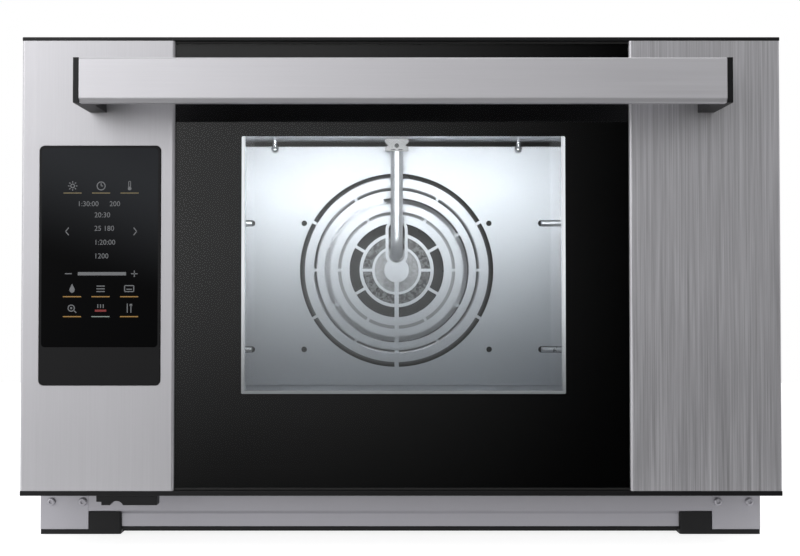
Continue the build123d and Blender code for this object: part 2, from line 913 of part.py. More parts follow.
def element_path():
    """The element's line: half turns that widen outwards, and an end that turns back at each side."""
    top = fan_z + element_inner
    y = element_y
    b = element_bend
    back = bulkhead_back_y + element_tail
    edges = [
        Edge.make_line((-b, back, top), (-b, y + b, top)),
        Edge.make_three_point_arc(
            (-b, y + b, top),
            (-b * math.sin(math.pi / 4), y + b - b * math.cos(math.pi / 4), top),
            (0, y, top),
        ),
    ]
    start = top
    for turn in range(element_half_turns):
        radius = element_inner + turn * element_pitch / 2
        sign = 1 if turn % 2 == 0 else -1
        end = start - sign * 2 * radius
        edges.append(
            Edge.make_three_point_arc((0, y, start), (sign * radius, y, (start + end) / 2), (0, y, end))
        )
        start = end
    edges.append(
        Edge.make_three_point_arc(
            (0, y, start),
            (b * math.sin(math.pi / 4), y + b - b * math.cos(math.pi / 4), start),
            (b, y + b, start),
        )
    )
    edges.append(Edge.make_line((b, y + b, start), (b, back, start)))
    return Wire(edges)


def heating_element():
    """The tubular element round the fan."""
    return swept(element_path(), element_radius)


def element_gap():
    """The least gap between two turns of the element, measured on points along it."""
    path = element_path()
    count = 700
    points = [path.position_at(index / count) for index in range(count + 1)]
    step = path.length / count
    skip = int(6 * element_radius / step)
    least = min(
        (points[i] - points[j]).length
        for i in range(0, count + 1, 2)
        for j in range(i + skip, count + 1)
    )
    return least - 2 * element_radius


def temperature_probe():
    """The sensor rod through the back wall, with its nut on the bulkhead."""
    end_y = bulkhead_back_y + 2 * probe_nut_radius
    rod = bar_y(probe_x, (cavity_back_y - probe_reach, end_y), probe_z, probe_radius)
    nut_y = (bulkhead_back_y, bulkhead_back_y + probe_nut_radius)
    nut = front_cut(Pos(probe_x, probe_z) * RegularPolygon(probe_nut_radius, 6), nut_y)
    return rod + nut


def rear_bulkhead():
    """The plate behind the insulation that carries the motor, the boards and the valve."""
    x = (-side_inner + seat_gap, side_inner - seat_gap)
    sheet = block(x, (bulkhead_y, bulkhead_back_y), (pan_top_z, cover_z - seat_gap))
    sheet += block(x, (bulkhead_y, bulkhead_back_y + flange_width), (pan_top_z, pan_top_z + liner_sheet))
    holes = wall_holes(seat_gap) + Pos(0, hose_z) * Circle(hose_radius + 1)
    sheet -= front_cut(holes, (bulkhead_y - 1, bulkhead_back_y + 1))
    return sheet


def motor_body():
    """The fan motor, flanged to the bulkhead, with cooling fins and a rear cap."""
    near = bulkhead_back_y
    cap_y = motor_back_y - motor_cap
    body = bar_y(0, (near, near + motor_flange), fan_z, motor_radius + motor_flange_overhang)
    body += bar_y(0, (near, cap_y), fan_z, motor_radius - motor_fin_depth)
    for index in range(motor_fins):
        y = near + motor_flange + (index + 1) * motor_fin_pitch
        body += bar_y(0, (y, y + motor_fin_depth), fan_z, motor_radius)
    body += bar_y(0, (cap_y, motor_back_y), fan_z, motor_radius * 0.75)
    return body - bar_y(0, (near - 1, cap_y), fan_z, shaft_radius + shaft_running)


# Rear compartment


def cooling_fan_housing():
    """The square frame of the small cooling fan, with arms that hold its axle."""
    y = (cooling_y, rear_inner_y)
    r = cooling_size / 2
    frame = front_cut(Pos(cooling_x, cooling_z) * RectangleRounded(2 * r, 2 * r, 2 * cooling_wall), y)
    frame -= bar_y(cooling_x, (y[0] - 1, y[1] + 1), cooling_z, r - cooling_wall)
    arm_y = (y[1] - cooling_arm, y[1])
    arms = bar_y(cooling_x, arm_y, cooling_z, cooling_hub)
    for angle in (45, 135):
        place = Pos(cooling_x, sum(arm_y) / 2, cooling_z) * Rot(0, angle, 0)
        arms += place * Box(2 * r - cooling_wall, cooling_arm, 1.3 * cooling_arm)
    axle = bar_y(cooling_x, (y[0] + cooling_depth / 3, y[1]), cooling_z, cooling_axle)
    return frame + arms + axle


def cooling_fan_rotor():
    """The small fan's hub and pitched blades, running on the housing's axle."""
    r = cooling_size / 2
    y = (cooling_y + cooling_arm, rear_inner_y - cooling_arm - 1)
    rotor = bar_y(cooling_x, y, cooling_z, cooling_hub)
    limit = bar_y(cooling_x, y, cooling_z, r - cooling_wall - cooling_tip_gap)
    root = cooling_hub - 2
    blade = Pos((root + r) / 2, 0, 0) * Rot(35, 0, 0) * Box(r - root, fan_sheet, 0.9 * cooling_depth)
    for index in range(cooling_blades):
        turned = Pos(cooling_x, sum(y) / 2, cooling_z) * Rot(0, index * 360 / cooling_blades, 0) * blade
        rotor += turned & limit
    bore_y = (cooling_y + cooling_depth / 3 - 1, y[1] + 1)
    return rotor - bar_y(cooling_x, bore_y, cooling_z, cooling_axle + cooling_running)


def vent_pipe():
    """The steam outlet, straight from the cavity's back wall to behind the rear panel."""
    y = (cavity_back_y, depth / 2)
    pipe = bar_y(vent_x, y, vent_z, vent_radius)
    pipe += bar_y(vent_x, (rear_inner_y - 2 * vent_wall, rear_inner_y), vent_z, vent_radius + 4 * vent_wall)
    pipe += bar_y(vent_x, (rear_inner_y, neck_y), vent_z, vent_neck_radius)
    return pipe - bar_y(vent_x, (y[0] - 1, y[1] + 1), vent_z, vent_radius - vent_wall)


def water_valve():
    """The solenoid valve: inlet thread, neck through the rear panel, body, coil and outlet."""
    r = valve_thread_radius
    end_y = neck_y + valve_thread_length
    body_y = rear_inner_y - valve_hexagon
    low_y = hose_back_y - hose_radius - 4
    thread = bar_y(valve_x, (body_y, end_y), valve_z, r)
    thread -= bar_y(valve_x, (end_y - r / 2, end_y + 1), valve_z, r * 0.75)
    thread += bar_y(valve_x, (body_y, neck_y), valve_z, valve_neck_radius)
    hexagon = front_cut(Pos(valve_x, valve_z) * RegularPolygon(1.35 * r, 6), (body_y, rear_inner_y))
    body = block((valve_x - r, valve_x + r), (low_y, body_y), (valve_z - 1.2 * r, valve_z + 1.2 * r))
    coil = block((valve_x - 2.2 * r, valve_x - r), (low_y + 2, body_y - 2), (valve_z - r, valve_z + r))
    outlet = bar_z(valve_x, hose_back_y, (valve_z, valve_top_z), hose_radius + 1.5)
    return thread + hexagon + body + coil + outlet


def water_hose():
    """The hose from the valve, up and over the insulation, to the tube's barb."""
    path = FilletPolyline(
        (0, tube_y + tube_radius + barb_length, hose_z),
        (0, hose_back_y, hose_z),
        (valve_x, hose_back_y, hose_z),
        (valve_x, hose_back_y, valve_top_z),
        radius=hose_bend,
    )
    return swept(path, hose_radius)


def cable_gland():
    """The gland for the mains cable: lock nut inside, hexagon and dome outside."""
    y = (rear_inner_y - gland_thread_radius, depth / 2)
    middle_y = (rear_y + depth / 2) / 2
    place = Pos(gland_x, gland_z)
    nut_y = (rear_inner_y - gland_radius / 2, rear_inner_y)
    body = bar_y(gland_x, (y[0], middle_y), gland_z, gland_thread_radius)
    body += front_cut(place * RegularPolygon(gland_radius + 3, 6), nut_y)
    body += front_cut(place * RegularPolygon(gland_radius + 2, 6), (rear_y, middle_y))
    body += bar_y(gland_x, (middle_y, y[1]), gland_z, gland_radius)
    return body - bar_y(gland_x, (y[0] - 1, y[1] + 1), gland_z, gland_bore)


def terminal_block():
    """The block where the mains cable's wires end, with its screw wells."""
    x = (gland_x - terminal_width / 2, gland_x + terminal_width / 2)
    z = (gland_z - terminal_height / 2, gland_z + terminal_height / 2)
    y = (bulkhead_back_y, bulkhead_back_y + terminal_depth)
    solid = block(x, y, z)
    for index in range(5):
        x_well = x[0] + (index + 0.5) * terminal_width / 5
        solid -= bar_y(x_well, (y[1] - 0.3 * terminal_depth, y[1] + 1), gland_z, 0.3 * terminal_width / 5)
    return solid


def power_board():
    """The power board on four spacers, with relays, a heat sink and capacitors."""
    x = (board_x, board_x + board_width)
    z = (board_low_z, board_low_z + board_height)
    y = bulkhead_back_y + board_spacer
    board = block(x, (y, y + board_sheet), z)
    inset = board_spacer
    for x_post in (x[0] + inset, x[1] - inset):
        for z_post in (z[0] + inset, z[1] - inset):
            board += bar_y(x_post, (bulkhead_back_y, y), z_post, 3)
    top = y + board_sheet
    w = board_width
    h = board_height
    relay = relay_size
    for index in range(relay_count):
        x_low = x[0] + w * (0.09 + 0.2 * index)
        board += block((x_low, x_low + relay), (top, top + 0.75 * relay), (z[1] - 2 * relay, z[1] - relay))
    sink_z = (z[0] + 0.44 * h, z[0] + 0.66 * h)
    fin_pitch = 0.2 * w / sink_fins
    for index in range(sink_fins):
        x_low = x[0] + 0.1 * w + index * fin_pitch
        board += block((x_low, x_low + fin_pitch / 3), (top, top + component_height), sink_z)
    board += block((x[0] + 0.1 * w, x[0] + 0.3 * w), (top, top + component_height / 6), sink_z)
    for index in range(3):
        x_can = x[0] + w * (0.52 + 0.15 * index)
        board += bar_y(x_can, (top, top + component_height), z[0] + 0.53 * h, capacitor_radius)
    choke_z = (z[0] + 0.1 * h, z[0] + 0.3 * h)
    board += block((x[0] + 0.11 * w, x[0] + 0.42 * w), (top, top + component_height), choke_z)
    plug_z = (z[0] + 0.1 * h, z[0] + 0.16 * h)
    board += block((x[0] + 0.53 * w, x[0] + 0.89 * w), (top, top + component_height / 2), plug_z)
    return board


# Door


def door_frame():
    """The door's four walls, and the back plate with the window's opening and clips for the inner pane."""
    z = (door_low_z, door_high_z)
    t = casing_sheet
    notch = hinge_notch()
    notches = notch + mirrored(notch)
    walls = block((-frame_half, frame_half), (frame_y, backplate_y), z)
    walls -= block((-frame_half + t, frame_half - t), (frame_y - 1, backplate_y + 1), (z[0] + t, z[1] - t))
    plate = block((-frame_half, frame_half), (backplate_y, pane_front_y), z)
    plate -= block(
        (window_left_x - window_rebate, window_right_x + window_rebate),
        (backplate_y - 1, pane_front_y + 1),
        (window_bottom_z - window_rebate, window_top_z + window_rebate),
    )
    for side in (-1, 1):
        for z_clip in (pane_low_z + pane_clip_inset, pane_high_z - pane_clip_inset):
            plate += pane_clip(side, z_clip)
    return group([walls - notches, plate - notches])


def door_mullions():
    """The two folded posts behind the outer glass's side edges."""
    t = casing_sheet
    z = (door_low_z + t, door_high_z - t)
    posts = []
    for x_edge, inward in ((glass_left_x, 1), (glass_right_x, -1)):
        x = (x_edge, x_edge + inward * mullion_width)
        post = block(x, (enamel_back_y, backplate_y), z)
        hollow = (x[0] + inward * t, x[1] - inward * t)
        posts.append(post - block(hollow, (enamel_back_y + t, backplate_y), z))
    return group(posts)


def pane_clip(side, z):
    """A tab from the frame that hooks over the inner glass's side edge."""
    s = pane_clip_size
    edge = side * (pane_half + seat_gap)
    outside = side * (pane_half + seat_gap + s / 4)
    inside = side * (pane_half - s / 3)
    z_span = (z - s / 2, z + s / 2)
    stem = block((edge, outside), (pane_front_y - 0.2, door_back_y + seat_gap), z_span)
    lip = block((inside, outside), (door_back_y + seat_gap, door_back_y + seat_gap + casing_sheet), z_span)
    return stem + lip


def hinge_notch():
    """The space at the door's bottom back edge where the right hinge's ear and eye turn."""
    return block(
        (arm_inner_x - 2, ear_outer_x + 2.5),
        (notch_y, door_back_y + 1),
        (base_height - 1, notch_z),
    )


def door_trim(top):
    """The black strip that caps the door's top or bottom edge."""
    z = (door_high_z, height) if top else (door_bottom_z, door_low_z)
    strip = block((-half, half), (door_y, door_back_y), z)
    strip = fillet(edges_at_y(strip, Axis.X, door_y), 0.6)
    if not top:
        notch = hinge_notch()
        strip -= notch + mirrored(notch)
    return strip


def outer_glass():
    """The clear front pane between the steel panels."""
    t = casing_sheet + seat_gap
    return block((glass_left_x, glass_right_x), (glass_y, glass_back_y), (door_low_z + t, door_high_z - t))


def glass_enamel():
    """The black layer on the back of the front pane, open at the window."""
    t = casing_sheet + seat_gap
    z = (door_low_z + t, door_high_z - t)
    layer = block((glass_left_x, glass_right_x), (glass_back_y, enamel_back_y), z)
    window_z = (window_bottom_z, window_top_z)
    window = rounded((window_left_x, window_right_x), window_z, window_corner_radius)
    return layer - front_cut(window, (glass_back_y - 1, enamel_back_y + 1))


def light_frame():
    """The pale frame behind the window's edge, at both sides and below, that lights the cavity."""
    y = (enamel_back_y, enamel_back_y + light_frame_depth)
    show = light_frame_showing
    w = light_frame_width
    outer = block(
        (window_left_x + show - w, window_right_x - show + w),
        y,
        (window_bottom_z + show - w, window_top_z + w),
    )
    inner = block(
        (window_left_x + show, window_right_x - show),
        (y[0] - 1, y[1] + 1),
        (window_bottom_z + show, window_top_z + w + 1),
    )
    return outer - inner


def inner_glass():
    """The pane that closes the cavity's mouth, on the frame's back plate."""
    sketch = rounded((-pane_half, pane_half), (pane_low_z, pane_high_z), pane_corner_radius)
    return front_cut(sketch, (pane_front_y, door_back_y))


def door_panel(left):
    """A steel door panel: a face, a fold onto the glass and a skirt along the door's side."""
    side = -1 if left else 1
    outer_x = side * half
    inner_x = side * (half - (left_panel_width if left else right_panel_width))
    t = casing_sheet
    z = (door_low_z, door_high_z)
    solid = block((outer_x, inner_x), (door_y, pane_front_y), z)
    solid = fillet(edges_at_y(solid, Axis.Z, door_y), panel_edge_radius)
    hollow = block((outer_x - side * t, inner_x + side * t), (panel_back_y, pane_front_y + 1), z)
    solid -= fillet(edges_at_y(hollow, Axis.Z, panel_back_y), max(panel_edge_radius - t, 0.1))
    solid -= block((inner_x - side, inner_x + side * t), (glass_y, pane_front_y + 1), z)
    if left:
        opening = rounded(
            (control_left_x - seat_gap, control_right_x + seat_gap),
            (control_low_z - seat_gap, control_top_z + seat_gap),
            control_corner_radius + seat_gap,
        )
        solid -= front_cut(opening, (door_y - 1, panel_back_y + 1))
    for x_screw in handle_screw_x:
        for z_screw in handle_screw_z:
            solid -= bar_y(x_screw, (door_y - 1, panel_back_y + 1), z_screw, handle_screw_radius + seat_gap)
    return solid


def control_housing():
    """The black box of the control panel, held behind the steel by its flange."""
    x = (control_left_x, control_right_x)
    z = (control_low_z, control_top_z)
    w = control_wall
    back_y = control_y + control_depth
    face = front_cut(rounded(x, z, control_corner_radius), (control_y, back_y))
    rim = face.faces().sort_by(Axis.Y)[0].edges()
    face = fillet(rim, control_proud * 0.6)
    f = control_flange
    flange = front_cut(
        rounded((x[0] - f, x[1] + f), (z[0] - f, z[1] + f), control_corner_radius),
        (panel_back_y, panel_back_y + 1.5),
    )
    housing = face + flange
    hollow_y = (control_y + touch_thickness + w, back_y + 1)
    housing -= block((x[0] + w, x[1] - w), hollow_y, (z[0] + w, z[1] - w))
    housing -= front_cut(touch_outline(), (control_y - 1, control_y + touch_thickness))
    window = block(
        (x[0] + 3 * w, x[1] - 3 * w),
        (control_y, control_y + touch_thickness + 2 * w),
        (touch_low_z + 2 * w, touch_top_z - 2 * w),
    )
    return housing - window


def touch_outline():
    """The touch glass's outline."""
    x = (control_left_x + control_wall, control_right_x - control_wall)
    return rounded(x, (touch_low_z, touch_top_z), control_corner_radius - control_wall / 2)


def control_glass():
    """The touch glass, flush in its housing."""
    return front_cut(touch_outline(), (control_y, control_y + touch_thickness))


def control_board():
    """The circuit board behind the touch glass, with its display."""
    inset = control_wall + seat_gap
    m = display_margin
    y = control_y + 0.7 * control_depth
    x = (control_left_x + control_wall, control_right_x - control_wall)
    z = (control_low_z + inset, control_top_z - inset)
    board = block(x, (y, y + board_sheet), z)
    display_top = touch_top_z - 1.6 * m
    display = block(
        (x[0] + m, x[1] - m),
        (control_y + touch_thickness, y),
        (display_top - display_height, display_top),
    )
    chip_y = (y + board_sheet, y + 2.5 * board_sheet)
    chips = block((x[0] + m, x[0] + 2.7 * m), chip_y, (z[0] + m, z[0] + 2.7 * m))
    return board + display + chips


def handle_bar():
    """The flat handle bar, bevelled along its front edges."""
    x = (handle_left_x + handle_cap, handle_right_x - handle_cap)
    b = handle_bevel
    outline = area(
        (handle_y + b, handle_low_z),
        (handle_back_y, handle_low_z),
        (handle_back_y, handle_top_z),
        (handle_y + b / 2, handle_top_z),
        (handle_y, handle_top_z - b / 2),
        (handle_y, handle_low_z + b * 1.6),
    )
    bar = side_cut(outline, x)
    return fillet(edges_at_y(bar, Axis.X, handle_back_y), 0.75 * b)


def handle_end(left):
    """A black handle end: a cap over the bar's end and an arm back to the door."""
    side = -1 if left else 1
    outer = handle_left_x if left else handle_right_x
    inward = -side
    r = handle_arm_fillet
    mid = outer + inward * handle_arm
    far = mid + inward * r
    k = r * (1 - math.sin(math.pi / 4))
    lines = Curve() + [
        Line((outer, handle_y), (outer + inward * handle_cap, handle_y)),
        Line((outer + inward * handle_cap, handle_y), (outer + inward * handle_cap, handle_back_y)),
        Line((outer + inward * handle_cap, handle_back_y), (far, handle_back_y)),
        ThreePointArc((far, handle_back_y), (mid + inward * k, handle_back_y + k), (mid, handle_back_y + r)),
        Line((mid, handle_back_y + r), (mid, door_y)),
        Line((mid, door_y), (outer, door_y)),
        Line((outer, door_y), (outer, handle_y)),
    ]
    arm = top_cut(make_face(lines), (handle_low_z, handle_top_z))
    x_screw = outer + inward * handle_arm / 2
    for z in handle_screw_z:
        arm -= bar_y(x_screw, (door_y - handle_screw_depth, door_y + 1), z, handle_screw_radius)
    return arm


def handle_screws():
    """The screws that hold the handle from inside the door."""
    screws = []
    for x in handle_screw_x:
        for z in handle_screw_z:
            shank = bar_y(x, (door_y - handle_screw_depth, panel_back_y), z, handle_screw_radius)
            head = bar_y(x, (panel_back_y, panel_back_y + handle_screw_radius), z, handle_screw_radius * 1.9)
            screws.append(shank + head)
    return group(screws)


def cable_guide():
    """The black guide under the door that leads the control panel's wires to the body."""
    x = (-half + guide_inset, -half + guide_inset + guide_width)
    y = (door_y + 1, door_y + 1 + guide_depth)
    low = door_bottom_z - guide_height
    r = guide_notch_radius
    solid = block(x, y, (low, door_bottom_z))
    solid -= block((x[0] - 1, x[0] + 4), (y[0] - 1, y[1] + 1), (low - 1, low + guide_height * 0.35))
    solid -= bar_y(x[0] + 16, (y[0] - 1, y[1] + 1), low - r * 0.4, r)
    return solid


# Hinge


def hinge_bracket():
    """The right bracket on the bottom pan, with the ear that holds the hinge pin."""
    x = (ear_inner_x, ear_outer_x)
    neck = 0.75 * eye_radius
    foot_y = (base_y + hinge_back_offset, base_y + hinge_back_offset + hinge_foot_length)
    ear = bar_x(x, pivot_y, pivot_z, eye_radius)
    ear += block(x, (pivot_y, sum(foot_y) / 2), (max(pivot_z - neck, pan_top_z), pivot_z + neck))
    ear += block(x, foot_y, (pan_top_z, pan_top_z + hinge_foot_rise))
    foot_x = (ear_outer_x, ear_outer_x + hinge_foot_width)
    ear += block(foot_x, foot_y, (pan_top_z, pan_top_z + hinge_arm_sheet))
    return ear - bar_x((x[0] - 1, x[1] + 1), pivot_y, pivot_z, hinge_pin_radius)


def hinge_pin():
    """The right hinge pin, headed outside its ear."""
    pin = bar_x((arm_inner_x - 1, ear_outer_x), pivot_y, pivot_z, hinge_pin_radius)
    return pin + bar_x((ear_outer_x, ear_outer_x + 1.5), pivot_y, pivot_z, hinge_pin_radius + 1.5)


def spring_place():
    """X and Y of the right door spring's axis, inside the arm."""
    x = arm_inner_x - spring_radius - spring_wire / 2 - 1
    y = backplate_y - hinge_arm_sheet - spring_radius - spring_wire / 2 - 1
    return x, y


def spring_span():
    """The heights between the arm's two spring seats."""
    return hinge_arm_low_z + hinge_arm_sheet, hinge_arm_top_z - hinge_arm_sheet


def hinge_arm():
    """The right arm inside the door: an eye on the pin, an upright, a flange and spring seats."""
    x = (arm_inner_x, arm_outer_x)
    sheet = hinge_arm_sheet
    y = (backplate_y - hinge_arm_depth, backplate_y)
    arm = bar_x(x, pivot_y, pivot_z, eye_radius)
    arm += block(x, (pivot_y - eye_radius, min(pivot_y, backplate_y)), (pivot_z, hinge_arm_low_z + sheet))
    arm += block(x, y, (hinge_arm_low_z, hinge_arm_top_z))
    spring_x, spring_y = spring_place()
    flange_x = spring_x - spring_radius - spring_wire / 2
    arm += block((flange_x, x[1]), (backplate_y - sheet, backplate_y), (hinge_arm_low_z, hinge_arm_top_z))
    low, high = spring_span()
    for z in ((low - sheet, low), (high, high + sheet)):
        arm += block((flange_x, x[1]), y, z)
    arm += bar_z(spring_x, spring_y, (low, high), spring_radius - spring_wire / 2 - 0.8)
    return arm - bar_x((x[0] - 1, x[1] + 1), pivot_y, pivot_z, hinge_pin_radius + hinge_running)


def hinge_spring():
    """The right door spring, wound on the arm's rod between its seats."""
    x, y = spring_place()
    low, high = spring_span()
    r = spring_wire / 2
    rise = high - low - 2 * r
    path = Pos(x, y, low + r) * Helix(pitch=rise / spring_turns, height=rise, radius=spring_radius)
    return sweep((path ^ 0) * Circle(r), path=path)


pieces = {
    "base_front_rail": base_end_rail(-1),
    "base_rear_rail": base_end_rail(1),
    "base_side_rail_left": mirrored(base_side_rail()),
    "base_side_rail_right": base_side_rail(),
    "corner_plates": group([pair(corner_plate(True)), pair(corner_plate(False))]),
    "feet": group([pair(foot(True)), pair(foot(False))]),
    "body_screws": body_screws(),
    "bottom_pan": bottom_pan(),
    "side_panel_left": mirrored(side_panel()),
    "side_panel_right": side_panel(),
    "top_cover": top_cover(),
    "rear_panel": rear_panel(),
    "front_fascia": front_fascia(),
    "cavity_liner": cavity_liner(),
    "insulation_wrap": insulation_wrap(),
    "door_gasket": door_gasket(),
    "fan_guard": fan_guard(),
    "guard_hooks": pair(guard_hook()),
    "water_tube": water_tube(),
    "tube_clamp": tube_clamp(),
    "rack_left": mirrored(side_rack()),
    "rack_right": side_rack(),
    "rack_studs": rack_studs(),
    "temperature_probe": temperature_probe(),
    "heating_element": heating_element(),
    "fan_shaft": fan_shaft(),
    "fan_wheel": fan_wheel(),
    "fan_nut": fan_nut(),
    "rear_bulkhead": rear_bulkhead(),
    "motor_body": motor_body(),
    "cooling_fan_housing": cooling_fan_housing(),
    "cooling_fan_rotor": cooling_fan_rotor(),
    "vent_pipe": vent_pipe(),
    "water_valve": water_valve(),
    "water_hose": water_hose(),
    "cable_gland": cable_gland(),
    "terminal_block": terminal_block(),
    "power_board": power_board(),
    "hinge_bracket_left": mirrored(hinge_bracket()),
    "hinge_bracket_right": hinge_bracket(),
    "hinge_pins": pair(hinge_pin()),
    "hinge_arm_left": mirrored(hinge_arm()),
    "hinge_arm_right": hinge_arm(),
    "hinge_springs": pair(hinge_spring()),
    "door_frame": door_frame(),
    "door_mullions": door_mullions(),
    "door_outer_glass": outer_glass(),
    "glass_enamel": glass_enamel(),
    "window_light_frame": light_frame(),
    "door_inner_glass": inner_glass(),
    "door_panel_left": door_panel(True),
    "door_panel_right": door_panel(False),
    "door_trims": group([door_trim(True), door_trim(False)]),
    "control_housing": control_housing(),
    "control_glass": control_glass(),
    "control_board": control_board(),
    "handle_bar": handle_bar(),
    "handle_ends": group([handle_end(True), handle_end(False)]),
    "cable_guide": cable_guide(),
    "handle_screws": handle_screws(),
}

os.makedirs("parts", exist_ok=True)
for name, piece in pieces.items():
    export_step(piece, f"parts/{name}.step")
print("pieces:", len(pieces))
print("element: least gap between turns", round(element_gap(), 2), "mm")
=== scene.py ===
"""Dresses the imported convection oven: its finishes, rounded edges, printed icons and small fittings."""

import json
import math

import bmesh
import bpy
from bpy.props import FloatProperty, FloatVectorProperty, PointerProperty
from mathutils import Matrix, Vector

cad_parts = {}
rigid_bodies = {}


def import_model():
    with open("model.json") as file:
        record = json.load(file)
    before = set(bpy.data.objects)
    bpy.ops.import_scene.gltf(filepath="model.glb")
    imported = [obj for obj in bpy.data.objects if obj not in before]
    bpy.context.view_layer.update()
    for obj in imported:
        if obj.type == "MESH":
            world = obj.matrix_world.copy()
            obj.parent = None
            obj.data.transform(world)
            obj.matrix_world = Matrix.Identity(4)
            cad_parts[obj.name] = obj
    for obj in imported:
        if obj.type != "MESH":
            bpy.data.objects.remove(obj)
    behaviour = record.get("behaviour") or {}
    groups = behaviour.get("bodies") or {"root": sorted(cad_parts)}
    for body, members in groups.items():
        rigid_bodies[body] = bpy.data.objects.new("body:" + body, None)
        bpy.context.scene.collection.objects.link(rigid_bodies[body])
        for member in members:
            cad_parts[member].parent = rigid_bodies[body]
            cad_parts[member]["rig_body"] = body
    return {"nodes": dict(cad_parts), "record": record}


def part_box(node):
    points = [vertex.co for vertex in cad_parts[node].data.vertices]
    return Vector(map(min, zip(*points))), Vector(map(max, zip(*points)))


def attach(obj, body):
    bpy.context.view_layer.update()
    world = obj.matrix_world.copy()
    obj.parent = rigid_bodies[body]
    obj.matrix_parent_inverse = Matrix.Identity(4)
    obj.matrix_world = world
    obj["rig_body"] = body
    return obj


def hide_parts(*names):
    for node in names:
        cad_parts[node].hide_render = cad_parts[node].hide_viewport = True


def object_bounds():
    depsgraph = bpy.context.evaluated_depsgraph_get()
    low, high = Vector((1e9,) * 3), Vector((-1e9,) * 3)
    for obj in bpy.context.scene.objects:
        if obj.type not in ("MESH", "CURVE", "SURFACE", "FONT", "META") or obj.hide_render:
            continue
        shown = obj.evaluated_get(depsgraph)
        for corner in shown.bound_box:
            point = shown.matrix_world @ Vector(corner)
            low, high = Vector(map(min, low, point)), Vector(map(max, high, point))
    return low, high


bl_info = {
    "name": "Convection oven",
    "version": (1, 0, 0),
    "blender": (4, 5, 0),
    "location": "View3D > Sidebar > Oven",
    "description": "Builds the looks of a counter-top convection oven round its packed parts",
    "category": "Object",
}

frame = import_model()
cad_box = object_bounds()
nodes = frame["nodes"]
paint = {item["slot"]: item["base_color"][:3] for item in frame["record"]["materials"]}

mm = 0.001
black = (0.0, 0.0, 0.0)
white = (1.0, 1.0, 1.0)
dark = (0.006, 0.006, 0.007)


# Shader building


class Value:
    """A number socket that works in Python expressions."""

    def __init__(self, graph, socket):
        self.graph = graph
        self.socket = socket

    def calculate(self, operation, first, second=0.0, third=0.0):
        made = self.graph.add("ShaderNodeMath", {"operation": operation}, {0: first, 1: second, 2: third})
        return Value(self.graph, made.outputs[0])

    def __add__(self, other):
        return self.calculate("ADD", self, other)

    __radd__ = __add__

    def __mul__(self, other):
        return self.calculate("MULTIPLY", self, other)

    __rmul__ = __mul__

    def __sub__(self, other):
        return self.calculate("SUBTRACT", self, other)

    def __rsub__(self, other):
        return self.calculate("SUBTRACT", other, self)

    def __truediv__(self, other):
        return self.calculate("DIVIDE", self, other)

    def __neg__(self):
        return self * -1.0

    def __abs__(self):
        return self.calculate("ABSOLUTE", self)

    def above(self, other):
        return self.calculate("GREATER_THAN", self, other)

    def most(self, other):
        return self.calculate("MAXIMUM", self, other)

    def root(self):
        return self.calculate("SQRT", self)

    def wave(self, length):
        """A sine from 0 to 1 that repeats every given length."""
        return self.calculate("SINE", self * (2 * math.pi / length)) * 0.5 + 0.5

    def step(self, low, high):
        """Rises smoothly from 0 at low to 1 at high."""
        inputs = {"Value": self, "From Min": low, "From Max": high}
        made = self.graph.add("ShaderNodeMapRange", {"interpolation_type": "SMOOTHSTEP"}, inputs)
        return Value(self.graph, made.outputs[0])


class Graph:
    """The nodes of one material or of the world."""

    def __init__(self, tree):
        self.tree = tree
        tree.nodes.clear()

    def feed(self, socket, value):
        if isinstance(value, Value):
            value = value.socket
        if isinstance(value, bpy.types.NodeSocket):
            self.tree.links.new(value, socket)
        elif socket.type == "RGBA" and len(value) == 3:
            socket.default_value = (*value, 1.0)
        else:
            socket.default_value = value

    def add(self, kind, settings=None, inputs=None):
        """A node of a kind, with its settings set first and then its sockets."""
        made = self.tree.nodes.new(kind)
        for name, value in (settings or {}).items():
            if name == "stops":
                ramp = made.color_ramp
                while len(ramp.elements) < len(value):
                    ramp.elements.new(1.0)
                for element, (place, colour) in zip(ramp.elements, value):
                    element.position = place
                    element.color = (*colour, 1.0)
            else:
                setattr(made, name, value)
        for name, value in (inputs or {}).items():
            self.feed(made.inputs[name], value)
        return made

    def mix(self, amount, first, second, way="MIX"):
        """A colour between two colours."""
        settings = {"data_type": "RGBA", "blend_type": way, "clamp_factor": True}
        return self.add("ShaderNodeMix", settings, {0: amount, 6: first, 7: second}).outputs[2]

    def split(self, vector):
        parts = self.add("ShaderNodeSeparateXYZ", inputs={0: vector}).outputs
        return [Value(self, parts[index]) for index in range(3)]


